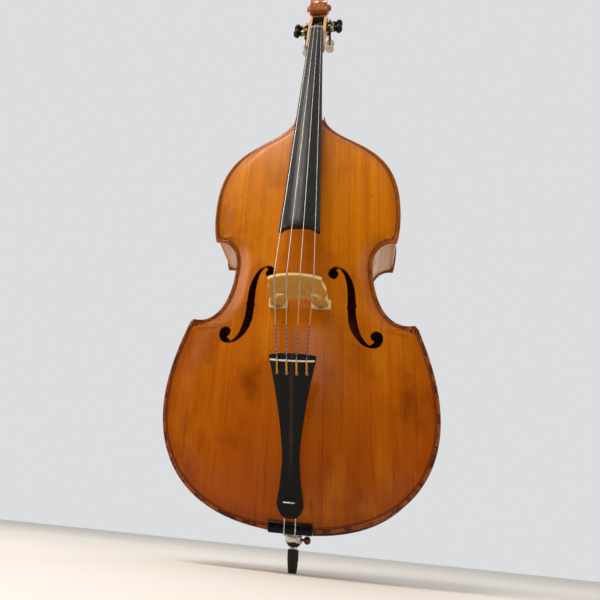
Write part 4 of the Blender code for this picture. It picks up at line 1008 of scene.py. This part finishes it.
rings = []
for step in range(0, 73):
    angle = math.radians(120 - 10 * step)
    radius = 0.056 * 0.5 ** (step / 27)
    half = 0.0262 + 0.0172 * (step / 72) ** 1.4
    spoke = (math.cos(angle), math.sin(angle))
    outer = in_scroll(radius * spoke[0], radius * spoke[1])
    inner = in_scroll(0.34 * radius * spoke[0], 0.34 * radius * spoke[1])
    rings.append(scroll_section(outer, inner, half, min(0.0036, 0.0008 + 0.0005 * step) * (1 - step / 90)))
points, faces = skin(rings)
piece("scroll_volute", points, faces, SCROLL_MAPLE, "root", (), 35)
for name, side in SIDES:
    ear = ((0, 0.0436), (0.0050, 0.0433), (0.0085, 0.0420), (0.0100, 0.0400), (0.0100, 0.0), (0, 0.0))
    points, faces = spun(ear, EYE, RIGHT * side, 32)
    piece(f"scroll_eye_{name}", points, faces, SCROLL_MAPLE, "root", (), 45)
print("scroll turned twice round its eye")

# %% [markdown]
# Ebony is a nearly black wood with a fine, waxy grain.  Fingers polish it: the board shows long
# soft reflections, while the tailpiece is darker, with a brown worn streak down its middle.

# %% Ebony, bridge maple and the white fret
def ebony(name, light, dark, roughness, streak=False):
    """Fine long grain; streak adds the worn brown line down a tailpiece."""
    tree, shader, made = finish(name, roughness, Specular_IOR_Level=0.16)
    grain = pattern(tree, (2.2, 8, 260), 4.0)
    base = layer(tree, linear(dark), light, grain, 0.35, 0.7)
    if streak:
        place = node(tree, "SeparateXYZ", {"Vector": node(tree, "TexCoord").outputs["Object"]})
        edge = pattern(tree, (7, 20, 60), 4.0, 0.7)
        off = node(tree, "Math",
                   {0: node(tree, "Math", {0: place.outputs["X"]},
                            operation="ABSOLUTE").outputs["Value"],
                    1: node(tree, "Math", {0: edge, 1: 0.009}, operation="MULTIPLY").outputs["Value"]},
                   operation="ADD").outputs["Value"]
        worn = both(tree, (off, 0.0065, 0.0095, 0.75, 0.0), (place.outputs["Z"], 0.17, 0.24))
        base = node(tree, "Mix", {0: worn, 6: base, 7: linear("3A2014")}, data_type="RGBA").outputs[2]
    tree.links.new(base, shader.inputs["Base Color"])
    tree.links.new(node(tree, "MapRange",
                        {"Value": grain, "From Min": 0.2, "From Max": 0.8, "To Min": roughness - 0.07,
                         "To Max": roughness + 0.1}, interpolation_type="SMOOTHSTEP").outputs["Result"],
                   shader.inputs["Roughness"])
    tree.links.new(node(tree, "Bump",
                        {"Height": grain, "Distance": 0.05 / 1000, "Strength": 0.25}).outputs["Normal"],
                   shader.inputs["Normal"])
    return made


# Ebony rubbed by fingers: dark grey with soft reflections.  The nut is painted pale grey, for its
# worn top and a painted highlight along it; the tailpiece and the pegs are polished and close to black.
BOARD_EBONY = ebony("worn_board_ebony", "262627", "19191A", 0.34)
NUT_WEAR_AND_HIGHLIGHT = ebony("nut_ebony_wear_and_painted_highlight", "9A9A98", "70706E", 0.3)
TAIL_EBONY = ebony("tailpiece_ebony", "090808", "030303", 0.20, streak=True)
PEG_EBONY = ebony("peg_ebony", "1D1816", "0E0C0B", 0.28)
# Bridge maple is sawn and scraped, never varnished: pale, with small flecks on the faces.  Its edges
# are paler: open end grain, and a painted highlight where light falls on them.  The fret is an
# ivory-white plastic, smooth with faint long streaks.
BRIDGE_MAPLE = plain_wood("bridge_maple", "C99A4C", "AE7D32", (2.4, 40, 2.4), 0.5, 0.1)
BRIDGE_EDGE = plain_wood("bridge_edge_maple", "E6CB92", "D2AF6C", (2, 2, 2), 0.5, 0.08)
FRET_WHITE = plain_wood("ivory_white_fret", "E9E2CC", "D5CAAC", (12, 3, 3), 0.4, 0.05)

# %% [markdown]
# The fingerboard is a long crowned slab of ebony, narrow at the nut and wide over the body.  It is
# glued to the neck for half its length; past that it is hollowed underneath to save weight.  It
# is a skin through cross-sections, because its crown has to keep one radius all the way down.

# %% The fingerboard
rings = []
STATIONS = 36
for step in range(STATIONS + 1):
    t = BOARD_LENGTH * step / STATIONS
    half = board_half(t)
    hollow = 0.0165 * smooth((t - 0.455) / 0.04)
    ring = []
    for i in range(-8, 9):
        x = half * i / 8
        lift = hollow * max(1 - (x / (half - 0.006)) ** 4, 0.0)
        ring.append(neck_point(x, t, GAP + lift))
    for i in range(12, -13, -1):
        x = half * math.sin(math.pi / 2 * i / 12)
        drop = 0.0009 if abs(i) == 12 else 0.0
        ring.append(neck_point(x, t, BOARD_EDGE - drop + crown(x, half, BOARD_RADIUS)))
    rings.append(ring)
points, faces = skin(rings)
board = piece("arched_board", points, faces, BOARD_EBONY, "root", ("fingerboard",), 30)
bevelled(board, 0.0007, 2)


# %% [markdown]
# The strings run from the tailpiece over the bridge and the nut to the pegs.  Their places are
# worked out once, because the nut's notches, the bridge's notches and the strings all share them.

# %% Where the strings run
STRINGS = (                             # name, radius, place in the row, machine
    ("string_e", 0.0013, -1.5, 0), ("string_a", 0.0011, -0.5, 2),
    ("string_d", 0.0009, 0.5, 3), ("string_g", 0.0007, 1.5, 1),
)
STEP_BRIDGE, STEP_NUT, STEP_TAIL = 0.0291, 0.0110, 0.0210
NUT_LENGTH = 0.010
TAIL_RISE = 0.020
TAIL_FRET_Z = 0.3295
TAIL_HOLE_Z = 0.304
BRIDGE_RADIUS = 0.089


def nut_top(x):
    """Height of the nut's crown over the glue plane."""
    return BOARD_EDGE + crown(x, BOARD_HALF_NUT, BOARD_RADIUS) + 0.0022


def bridge_crown(x):
    """Height of the bridge's top edge over the belly's edge plane."""
    return BRIDGE_TOP - BRIDGE_RADIUS + math.sqrt(BRIDGE_RADIUS ** 2 - x ** 2)


def tail_line(z):
    """Height of the straight line from the saddle to the bridge's top."""
    return TAIL_RISE + (BRIDGE_TOP - TAIL_RISE) / BRIDGE_Z * z


def notch(x, step):
    """Depth of the string notch at x, for strings that stand one step apart."""
    return max(0.0009 - abs(x - s[2] * step) ** 2 * 600 for s in STRINGS) if abs(x) < 2 * step else 0.0


# %% [markdown]
# The nut is the small block at the top of the board.  The strings rest in its four notches, so
# its section is drawn with enough points across for the notches to show.

# %% The nut
NUT_POINTS = 90
rings = []
for k, drop in ((0, 0.0006), (1, 0.0), (2, 0.0), (9, 0.0), (10, 0.0012)):
    t = -GAP - NUT_LENGTH * k / 10
    ring = [neck_point(-BOARD_HALF_NUT, t, 0.0010), neck_point(BOARD_HALF_NUT, t, 0.0010)]
    for i in range(NUT_POINTS, -NUT_POINTS - 1, -1):
        x = BOARD_HALF_NUT * i / NUT_POINTS
        ring.append(neck_point(x, t, nut_top(x) - max(notch(x, STEP_NUT), 0.0) - drop))
    rings.append(ring)
points, faces = skin(rings)
# The nut's pale grey is its worn top and, mostly, a painted highlight.
piece("grooved_nut", points, faces, NUT_WEAR_AND_HIGHLIGHT, "root", ("nut",), 30)
print("board and nut")

# %% [markdown]
# The bridge is split maple, thick at the feet and thin at the top.  It is cut to an outline with
# an arch between its legs and two kidney-shaped holes, and its edges are eased.  Two metal wheels
# on screws lift it off its feet.

# %% The bridge, its feet and its wheels
BRIDGE_OUTLINE = (
    (0.000, 0.092, 0), (0.020, 0.085, 0), (0.032, 0.066, 0), (0.0355, 0.0483, 1),
    (0.0690, 0.0483, 1), (0.0680, 0.072, 0), (0.0640, 0.094, 0), (0.0675, 0.112, 0),
    (0.0660, 0.135, 0), (0.0600, 0.165, 0), (0.0595, 0.190, 1),
)
KIDNEY = (
    (0.030, 0.112, 0), (0.040, 0.119, 0), (0.052, 0.112, 0), (0.056, 0.096, 0), (0.050, 0.090, 0),
    (0.046, 0.100, 0), (0.038, 0.106, 0),
)
FOOT_X = 0.052
FOOT_TOP = 0.0425


def sawn(loops, half_thickness):
    """A flat shape with holes, sawn from a board; its outline is in x and y."""
    shape = bpy.data.curves.new("outline", "CURVE")
    shape.dimensions = "2D"
    shape.fill_mode = "BOTH"
    shape.extrude = half_thickness
    for loop in loops:
        spline = shape.splines.new("POLY")
        spline.points.add(len(loop) - 1)
        for point, (x, y) in zip(spline.points, loop):
            point.co = (x, y, 0, 1)
        spline.use_cyclic_u = True
    holder = bpy.data.objects.new("outline", shape)
    bpy.context.scene.collection.objects.link(holder)
    bpy.context.view_layer.update()
    graph = bpy.context.evaluated_depsgraph_get()
    mesh = bpy.data.meshes.new_from_object(holder.evaluated_get(graph))
    bpy.data.objects.remove(holder, do_unlink=True)
    return mesh


right = rounded_loop(BRIDGE_OUTLINE, 8)
right = right[:right.index(BRIDGE_OUTLINE[-1][:2]) + 1]
top = []
for i in range(1, 80):
    x = 0.0595 * (1 - i / 40)
    top.append((x, bridge_crown(x) - max(notch(x, STEP_BRIDGE), 0.0)))
left = [(-x, h) for x, h in reversed(right[1:])]
kidneys = [[(side * x, h) for x, h in rounded_loop(KIDNEY, 5)] for side in (-1, 1)]
mesh = sawn([right + top + left] + kidneys, 1.0)
for vert in mesh.vertices:
    height = vert.co.y
    half = 0.0100 - 0.0070 * (height - 0.048) / (BRIDGE_TOP - 0.048)
    vert.co = at(vert.co.x, -height, BRIDGE_Z + math.copysign(half, vert.co.z))
bridge = dress("sawn_bridge", mesh, (BRIDGE_MAPLE, BRIDGE_EDGE), "bridge", ("bridge",), 30)
bevelled(bridge, 0.0010, 2)
# Edge faces, the kidneys' insides among them, get the paler maple: end grain, and partly a painted highlight.
for face in bridge.data.polygons:
    if abs(face.normal.z) < 0.8:
        face.material_index = 1

tree, shader, ALUMINIUM = finish("turned_aluminium", 0.34, 1.0)
turning = pattern(tree, (0.8, 0.8, 0.8), 2.0)
tree.links.new(layer(tree, linear("A5A6A7"), "8B8C8D", turning, 0.3, 0.7), shader.inputs["Base Color"])
tree.links.new(node(tree, "MapRange",
                    {"Value": turning, "From Min": 0.3, "From Max": 0.7, "To Min": 0.28,
                     "To Max": 0.42}, interpolation_type="SMOOTHSTEP").outputs["Result"],
               shader.inputs["Roughness"])

for name, side in SIDES:
    axis_point = at(side * FOOT_X, 0, BRIDGE_Z)
    rings = []
    for i in range(9):
        x = FOOT_X - 0.023 + 0.046 * i / 8
        ring = [at(side * x, -arch(x, BRIDGE_Z + dz, BELLY_ARCH) - GAP, BRIDGE_Z + dz)
                for dz in (-0.011, 0.0, 0.011)]
        end = 0.0012 if i in (0, 8) else 0.0
        ring += [at(side * x, -FOOT_TOP + end, BRIDGE_Z + dz) for dz in (0.0105, -0.0105)]
        rings.append(ring)
    points, faces = skin(rings)
    foot = piece(f"fitted_foot_{name}", points, faces, BRIDGE_EDGE, "root", (f"bridge_foot_{name}",),
                 30)
    drilled(foot, 0.0046, axis_point, OUT, 24, 0.0, 0.06)
    bevelled(foot, 0.0008, 2)
    low, high = FOOT_TOP + GAP, FOOT_TOP + GAP + 0.005
    rings = []
    profile = ((0.0030, 0.0625), (0.0038, 0.0618), (0.0039, high + 0.0002), (0.0120, high),
               (0.0140, high), (0.0148, high - 0.0007), (0.0150, high - 0.0010), (0.0150, low + 0.0010),
               (0.0148, low + 0.0007), (0.0140, low), (0.0039, low), (0.0039, 0.0300), (0.0030, 0.0300))
    _, first, second = frame_of(OUT)
    for radius, height in profile:
        ring = []
        for i in range(96):
            angle = 2 * math.pi * i / 96
            knurl = 0.0004 if radius > 0.0145 and i % 2 else 0.0
            ring.append(axis_point + OUT * height + (first * math.cos(angle) + second * math.sin(angle))
                        * (radius - knurl))
        rings.append(ring)
    points, faces = skin(rings)
    piece(f"knurled_wheel_{name}", points, faces, ALUMINIUM, f"wheel_{name}", (f"adjuster_wheel_{name}",),
          25)
print("bridge:", len(bridge.data.polygons), "faces")

# %% [markdown]
# The tailpiece is a crowned slab of ebony, wide where the strings hook in and waisted below.  Its
# widths are set at ten heights and smoothed between them.

# %% The tailpiece
TAIL_WIDTHS = (
    (0.026, 0.0090), (0.032, 0.0190), (0.048, 0.0275), (0.066, 0.0265), (0.095, 0.0220),
    (0.150, 0.0188), (0.220, 0.0270), (0.290, 0.0400), (0.330, 0.0495), (0.341, 0.0514),
)
TAIL_RADIUS = 0.075
WIRE_RADIUS = 0.0015
WIRE_HALF = 0.0117
WIRE_BAR_Z = 0.060
FRET_HALF = 0.0480
slope = Vector((0, -(BRIDGE_TOP - TAIL_RISE), BRIDGE_Z)).normalized()
OFF_TAIL = Vector((0, -slope.z, slope.y))


def tail_underside(z):
    """How far the tailpiece's underside lies below its line."""
    return 0.010 + 0.006 * smooth((z - 0.03) / 0.09)


def tail_crown(x, half):
    """Height of the tailpiece's crowned front over its edge."""
    return crown(x, half, TAIL_RADIUS) * 0.8


rings = []
for z, half, _ in [tuple(p) for p in curved([(z, half, 0) for z, half in TAIL_WIDTHS], 5)]:
    line, under = tail_line(z), tail_underside(z)
    ring = [at(half - 0.001, -line + under, z), at(-half + 0.001, -line + under, z),
            at(-half, -line + under - 0.001, z)]
    for i in range(-10, 11):
        x = half * math.sin(math.pi / 2 * i / 10)
        drop = 0.0008 if abs(i) == 10 else 0.0
        ring.append(at(x, -line + 0.006 + drop - tail_crown(x, half), z))
    ring.append(at(half, -line + under - 0.001, z))
    rings.append(ring)
points, faces = skin(rings)
tail = piece("crowned_tailpiece", points, faces, TAIL_EBONY, "root", ("tailpiece",), 30)
for _, _, row, _ in STRINGS:
    hole = at(row * STEP_TAIL, -tail_line(TAIL_HOLE_Z), TAIL_HOLE_Z)
    drilled(tail, 0.0043, hole, OFF_TAIL, 24)
for side in (-1, 1):
    hole = at(side * WIRE_HALF, -tail_line(WIRE_BAR_Z), WIRE_BAR_Z)
    drilled(tail, 0.0024, hole, OFF_TAIL, 16)
fret_line = at(0, -tail_line(TAIL_FRET_Z), TAIL_FRET_Z)


def fret_solid(half_x, half_up, low, high):
    """The fret's shape: a strip bent over the tailpiece's crown."""
    rings = []
    for step in range(-12, 13):
        x = half_x * step / 12
        crest = tail_crown(min(abs(x), FRET_HALF), FRET_HALF)
        square = ((low, -half_up), (high, -half_up), (high, half_up), (low, half_up))
        rings.append([fret_line + RIGHT * x + OFF_TAIL * (crest + rise) + slope * along
                      for rise, along in square])
    return skin(rings)


cut(tail, tool_mesh(*fret_solid(0.0483, 0.0020, -0.0063, 0.012)))
bevelled(tail, 0.0007, 2)
points, faces = fret_solid(FRET_HALF, 0.00175, -0.0060, -0.0010)
fret = piece("bent_fret", points, faces, FRET_WHITE, "root", ("tailpiece_fret",), 30)
bevelled(fret, 0.0004, 1)
saddle_body = box_points(lambda x, y, z: Vector((x, y, z)), saddle_low, saddle_high)
points, faces = skin(saddle_body)
saddle = piece("rounded_saddle", points, faces, TAIL_EBONY, "root", ("saddle",), 30)
bevelled(saddle, 0.0034, 4)
print("tailpiece and saddle")

# %% [markdown]
# Metals here are plain, since they are small: nickel silver for the collar, dark bronze for the
# machines' plates and worms, brass for the gears, bright steel for wire and strings.  Each has a
# fine change of roughness, as touched metal has.

# %% Metals, rubber and silk
def metal(name, light, dark, roughness, size_mm=6.0):
    """A metal with faint cloudy tarnish."""
    tree, shader, made = finish(name, roughness, 1.0)
    cloud = pattern(tree, (size_mm, size_mm, size_mm), 4.0)
    tree.links.new(layer(tree, linear(light), dark, cloud, 0.35, 0.65), shader.inputs["Base Color"])
    tree.links.new(node(tree, "MapRange",
                        {"Value": cloud, "From Min": 0.3, "From Max": 0.7, "To Min": roughness - 0.06,
                         "To Max": roughness + 0.08},
                        interpolation_type="SMOOTHSTEP").outputs["Result"], shader.inputs["Roughness"])
    return made


def matt(name, light, dark, roughness, size_mm, depth=0.1):
    """A cloudy surface with no metal in it: rubber, plastic or thread."""
    tree, shader, made = finish(name, roughness)
    cloud = pattern(tree, (size_mm, size_mm, size_mm), 3.0)
    tree.links.new(layer(tree, linear(light), dark, cloud, 0.35, 0.65), shader.inputs["Base Color"])
    tree.links.new(node(tree, "Bump",
                        {"Height": cloud, "Distance": depth / 1000, "Strength": 0.4}).outputs["Normal"],
                   shader.inputs["Normal"])
    return made


# Old brass is cut and tarnished; bronze is cast and nearly black; nickel silver is turned and
# polished; the steel of the rod and the wire is drawn bright; wound strings are ridged and duller.
BRASS = metal("old_brass", "B5A47E", "7A6A4C", 0.34)
BRONZE = metal("dark_bronze", "5A463A", "33261F", 0.42)
NICKEL = metal("nickel_silver", "DAD5C8", "B4AE9F", 0.26)
STEEL = metal("bright_steel", "C4C6C8", "A2A4A6", 0.22)
STRING_STEEL = metal("wound_string_steel", "B8B2A4", "928C7E", 0.40, 1.2)
# The paddles' plating has gone chalky, so they are drawn as a dull pale surface.  Rubber is moulded
# and dusty; the knob is a turned plastic; silk is thread, too fine to shine.
PADDLE_NICKEL = matt("dull_paddle_nickel", "CFC9B6", "B3AC96", 0.40, 8, 0.02)
RUBBER = matt("black_rubber", "1E1D1D", "121212", 0.72, 5)
KNOB = matt("brown_knob_plastic", "6A2418", "43140F", 0.3, 8, 0.02)
SILK_GOLD = matt("gold_silk", "D9A12C", "A87516", 0.75, 0.9)
SILK_BLUE = matt("navy_silk", "1E2048", "12122C", 0.8, 0.9)
SILK_PALE = matt("pale_lilac_silk", "A493B8", "7A698E", 0.8, 0.9)
BALL_END = matt("red_brown_ball_end", "B4582E", "8A3A1C", 0.4, 3)


# %% [markdown]
# A wire or a string never bends at a point, so the corners of its path are eased with a short
# curve before the wire is swept along it.

# %% Paths with rounded corners
def rounded(points, reach):
    """A path whose corners are eased within a short reach."""
    points = [Vector(p) for p in points]
    path = [points[0]]
    for before, corner, after in zip(points, points[1:], points[2:]):
        first = corner + (before - corner) * min(reach / max((before - corner).length, 1e-6), 0.45)
        last = corner + (after - corner) * min(reach / max((after - corner).length, 1e-6), 0.45)
        for k in range(5):
            t = k / 4
            path.append(first * (1 - t) ** 2 + corner * 2 * t * (1 - t) + last * t * t)
    path.append(points[-1])
    return path


# %% [markdown]
# A thick steel wire comes out of the tailpiece's lower end, runs over the saddle and loops round
# the endpin's collar.  Both of its sides are the same run of points, mirrored.

# %% The wire that holds the tailpiece
loop_radius = 0.0155 + WIRE_RADIUS + 0.0008
bar = at(0, -tail_line(WIRE_BAR_Z), WIRE_BAR_Z)
saddle_y = -0.0125 - WIRE_RADIUS - GAP
side_run = [bar + OFF_TAIL * 0.0155, bar - OFF_TAIL * (tail_underside(WIRE_BAR_Z) + 0.003),
            at(0, saddle_y, 0.017), at(0, saddle_y, -0.003 - WIRE_RADIUS - GAP),
            at(0, BODY_DEPTH / 2 - 0.0145, -0.0035)]
points = [Vector((WIRE_HALF, p.y, p.z)) for p in side_run]
loop_centre = at(0, BODY_DEPTH / 2, -0.0035)
for i in range(27):
    angle = math.radians(-40 + 10 * i)
    points.append(loop_centre + Vector((math.cos(angle), math.sin(angle), 0)) * loop_radius)
points += [Vector((-WIRE_HALF, p.y, p.z)) for p in reversed(side_run)]
middle = (points[0] + points[-1]) / 2
points, faces = swept(rounded([middle] + points + [middle], 0.003), WIRE_RADIUS, 14)
piece("bent_tail_wire", points, faces, STEEL, "root", ("tail_wire",), 50)

# %% [markdown]
# Under the body a turned plug, a nickel collar and a rubber-like bush guide the endpin.  The rod
# slides through them, and a thumbscrew in the collar's side grips it.  A rubber tip meets the
# floor.

# %% The endpin
bore = 0.0054
rib_face = BODY_BOTTOM + OVERHANG
groove = BODY_BOTTOM - 0.0035
top = rib_face - 0.0013
ENDPIN = (                              # CAD part, new name, body, finish, slot, profile
    ("endpin_plug", "turned_plug", "root", PEG_EBONY, "ebony",
     ((bore, 0.138), (0.0135, 0.138), (0.0140, 0.1375), (0.0153, rib_face - 0.0010),
      (bore, rib_face - 0.0010))),
    ("endpin_collar", "turned_collar", "root", NICKEL, "nickel_silver",
     ((bore, top), (0.0176, top), (0.0180, top - 0.0004), (0.0180, groove + 0.0028),
      (0.0174, groove + 0.0022), (0.0155, groove + 0.0018), (0.0155, groove - 0.0018),
      (0.0183, groove - 0.0022), (0.0190, groove - 0.0030), (0.0190, 0.0622), (0.0186, 0.0612),
      (0.0175, 0.0602), (0.0165, 0.0600), (bore, 0.0600))),
    ("collar_bush", "tapered_bush", "root", RUBBER, "rubber",
     ((bore, 0.0597), (0.0152, 0.0597), (0.0155, 0.0592), (0.0149, 0.0575), (0.0104, 0.0528),
      (0.0098, 0.0523), (bore, 0.0523))),
    ("endpin_rod", "polished_rod", "endpin", STEEL, "steel",
     ((0, 0.420), (0.0035, 0.420), (0.0050, 0.4185), (0.0050, 0.0103), (0, 0.0103))),
    ("endpin_ferrule", "turned_ferrule", "endpin", NICKEL, "nickel_silver",
     ((0.0053, 0.0520), (0.0080, 0.0520), (0.0090, 0.0514), (0.0092, 0.0506), (0.0092, 0.0480),
      (0.0088, 0.0473), (0.0053, 0.0473))),
    ("endpin_tip", "rubber_foot", "endpin", RUBBER, "rubber",
     ((0, 0.0100), (0.0053, 0.0100), (0.0053, 0.0470), (0.0110, 0.0470), (0.0120, 0.0462),
      (0.0125, 0.0440), (0.0122, 0.0400), (0.0122, 0.0250), (0.0116, 0.0240), (0.0112, 0.0160),
      (0.0095, 0.0022), (0.0088, 0.0006), (0.0080, 0.0), (0, 0.0))),
)
for stands_for, name, body, made_of, slot, profile in ENDPIN:
    points, faces = spun(profile, (0, 0, 0), UP, 64)
    piece(name, points, faces, made_of, body, (stands_for,), 38)
profile = ((0, 0.0380), (0.0030, 0.0377), (0.0058, 0.0362), (0.0078, 0.0338), (0.0085, 0.0305),
           (0.0082, 0.0280), (0.0070, 0.0252), (0.0045, 0.0232), (0.0032, 0.0228), (0.0030, 0.0222),
           (0.0030, 0.0060), (0, 0.0060))
points, faces = spun(profile, Vector((0, 0, 0.0675)), RIGHT, 40)
piece("turned_thumbscrew", points, faces, KNOB, "thumbscrew", ("endpin_thumbscrew",), 38)
print("endpin")

# %% [markdown]
# Four worm machines turn the pegs.  The paddles behind turn the worms, each worm turns its gear,
# and the gear turns the peg: sixteen turns of the paddle make one of the peg.  Each peg ends in a
# turned black hat.

# %% The tuning machines
KEY_DEPTH = 0.062
GEAR_X = 0.0395
WORM_CENTRES = 0.0204
for index, (side, s) in enumerate(MACHINES):
    label = index + 1
    axis_point = peg_point(0, s, PEG_DEPTH)
    out = RIGHT * side
    far = -(CHEEK_X - 0.0015)
    profile = ((0, 0.0840), (0.0040, 0.0836), (0.0080, 0.0822), (0.0118, 0.0792), (0.0140, 0.0756),
               (0.0150, 0.0720), (0.0149, 0.0695), (0.0138, 0.0662), (0.0110, 0.0637), (0.0080, 0.0620),
               (0.0072, 0.0608), (0.0078, 0.0596), (0.0098, 0.0586), (0.0105, 0.0574), (0.0105, 0.0556),
               (0.0100, 0.0550), (0.0050, 0.0550), (0.0050, CHEEK_X + 0.0022),
               (PEG_RADIUS, CHEEK_X + 0.0022), (PEG_RADIUS, far), (0, far))
    points, faces = spun(profile, axis_point, out, 48)
    piece(f"turned_peg_{label}", points, faces, PEG_EBONY, f"tuner_{label}", (f"peg_{label}",), 38)
    profile = ((0.0053, 0.0436), (0.0094, 0.0436), (0.0094, 0.0441), (0.0088, 0.0446), (0.0088, 0.0460),
               (0.0098, 0.0466), (0.0100, 0.0480), (0.0100, 0.0536), (0.0096, 0.0543), (0.0053, 0.0546))
    points, faces = spun([(r + 0.0002 if 0.008 < r else r, h) for r, h in profile], axis_point, out, 40)
    piece(f"brass_collar_{label}", points, faces, BRASS, f"tuner_{label}", (), 38)
    worm_point = peg_point(side * GEAR_X, s - WORM_CENTRES, PEG_DEPTH)
    key_point = worm_point + PEG_BACK * KEY_DEPTH
    disc = ((0, 0.0015), (0.0070, 0.0013), (0.0128, 0.0015), (0.0143, 0.0013), (0.0150, 0.0004),
            (0.0150, -0.0004), (0.0143, -0.0013), (0.0128, -0.0015), (0.0070, -0.0013), (0, -0.0015))
    points, faces = spun(disc, key_point, PEG_UP, 48)
    piece(f"round_paddle_{label}", points, faces, PADDLE_NICKEL, f"worm_{label}", (f"key_{label}",),
          38)
    stem = ((0, 0.0480), (0.0028, 0.0480), (0.0034, 0.0466), (0.0036, 0.0440), (0.0034, 0.0410),
            (0.0030, 0.0400), (0, 0.0400))
    points, faces = spun(stem, worm_point, PEG_BACK, 24)
    piece(f"paddle_neck_{label}", points, faces, BRONZE, f"worm_{label}", (), 38)
    for along, deep in ((-0.0262, -0.0140), (-0.0262, 0.0160), (0.0142, -0.0140), (0.0142, 0.0160)):
        screw = peg_point(side * (CHEEK_X + 0.0019), s + along, PEG_DEPTH + deep)
        head = ((0, 0.0010), (0.0012, 0.0008), (0.0020, 0.0002), (0.0020, -0.0006), (0, -0.0006))
        points, faces = spun(head, screw, out, 16)
        piece(f"screw_{label}_{round(along * 1000)}_{round(deep * 1000)}".replace("-", "m"), points, faces,
              BRASS, "root", (), 38)
    for kind, made_of in (("gear", BRASS), ("worm", BRONZE), ("machine_plate", BRONZE)):
        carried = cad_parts[f"{kind}_{label}"]
        carried.data.materials.clear()
        carried.data.materials.append(made_of)
print("four machines")

# %% [markdown]
# Each string is one wire: a ball behind the tailpiece, silk over the white fret, bright winding
# over the bridge and the nut, and two turns round its peg.

# %% The strings
def twisted(name, path, radius, colours, pitch_mm):
    """A silk sleeve: one strand of each colour wound round a path."""
    strands = len(colours)
    for index, colour in enumerate(colours):
        points = []
        travelled = 0.0
        for before, after in zip(path, path[1:]):
            steps = max(int((after - before).length / 0.00035), 1)
            along, first, second = frame_of(after - before)
            for k in range(steps):
                here = before + (after - before) * (k / steps)
                angle = 2 * math.pi * ((travelled + (after - before).length * k / steps) * 1000 / pitch_mm
                                       + index / strands)
                points.append(here + (first * math.cos(angle) + second * math.sin(angle)) * radius * 0.55)
            travelled += (after - before).length
        mesh_points, faces = swept(points, radius * 0.62, 6)
        silk = piece(f"{name}_{index + 1}", mesh_points, faces, colour, None, (), 60)
        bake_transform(silk)


for name, radius, row, machine in STRINGS:
    lift = radius + GAP
    x_tail, x_bridge, x_nut = row * STEP_TAIL, row * STEP_BRIDGE, row * STEP_NUT
    over_fret = at(x_tail, -tail_line(TAIL_FRET_Z), TAIL_FRET_Z)
    over_fret += OFF_TAIL * (tail_crown(x_tail, FRET_HALF) - 0.0010 + lift)
    hole = at(x_tail, -tail_line(TAIL_HOLE_Z), TAIL_HOLE_Z)
    surface = tail_crown(x_tail, 0.0430) - 0.006
    bridge_high = bridge_crown(x_bridge) + lift
    on_bridge = at(x_bridge, -bridge_high, BRIDGE_Z)
    below = [hole - OFF_TAIL * 0.010, hole + OFF_TAIL * (surface + lift + 0.0008), over_fret - slope * 0.0025,
             over_fret + slope * 0.0025, on_bridge - UP * 0.0037, on_bridge]
    path = rounded(below, 0.003)
    points, faces = swept(path, radius, 14)
    lower = piece(f"{name}_below_bridge", points, faces, STRING_STEEL, None, (), 60)
    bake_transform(lower)
    line_start = over_fret + slope * 0.0025
    after = on_bridge - UP * 0.0037 - line_start
    sleeve = [line_start + after * share for share in (0.01, 0.41)]
    gold = [line_start + after * share for share in (0.41, 0.59)]
    sleeve_radius = max(radius, 0.0010)
    twisted(f"{name}_silk", sleeve, sleeve_radius * 1.15, (SILK_BLUE, SILK_PALE, SILK_BLUE), 9.0)
    twisted(f"{name}_gold_silk", gold, sleeve_radius * 1.1, (SILK_GOLD, SILK_GOLD), 4.0)
    twisted(f"{name}_gold_end", path[4:11], 0.0018, (SILK_GOLD, SILK_GOLD), 4.0)
    ball = ((0, 0.0024), (0.0022, 0.0022), (0.0038, 0.0012), (0.0041, -0.0012), (0.0024, -0.0022),
            (0, -0.0024))
    points, faces = spun(ball, hole + OFF_TAIL * (surface - 0.0016), OFF_TAIL, 24)
    piece(f"{name}_ball", points, faces, BALL_END, "root", (), 60)

    nut_high = nut_top(x_nut) + lift
    on_nut = neck_point(x_nut, 0.0004, nut_high)
    off_nut = neck_point(x_nut, -NUT_LENGTH - 0.0010, nut_high)
    side, s = MACHINES[machine]
    reach = PEG_RADIUS + lift
    origin = peg_point(0, 0, 0)
    start = Vector(((off_nut - origin).dot(PEG_UP), (off_nut - origin).dot(PEG_BACK)))
    span = Vector((s, PEG_DEPTH)) - start
    tilt = math.atan2(span.y, span.x) - math.asin(reach / span.length)
    pitch = 2 * radius + 0.0006
    x_start = max(min(x_nut, 0.020 - 4 * pitch), 4 * pitch - 0.020)

    def round_peg(share):
        """A point on the winding, share of a turn from where the string meets the peg."""
        angle = tilt + 2 * math.pi * share
        x = x_start + math.copysign(pitch * share, row)
        return peg_point(x, s + reach * math.sin(angle), PEG_DEPTH - reach * math.cos(angle))

    path = rounded([on_bridge, on_bridge + UP * 0.0037, on_nut, off_nut, round_peg(0)], 0.003)
    points, faces = swept(path, radius, 14)
    upper = piece(f"{name}_speaking", points, faces, STRING_STEEL, None, (name,), 60)
    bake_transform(upper)
    turns = [round_peg(i / 24) for i in range(49)]
    points, faces = swept(turns, radius, 12)
    piece(f"{name}_winding", points, faces, STRING_STEEL, f"tuner_{machine + 1}", (), 60)
print("four strings")
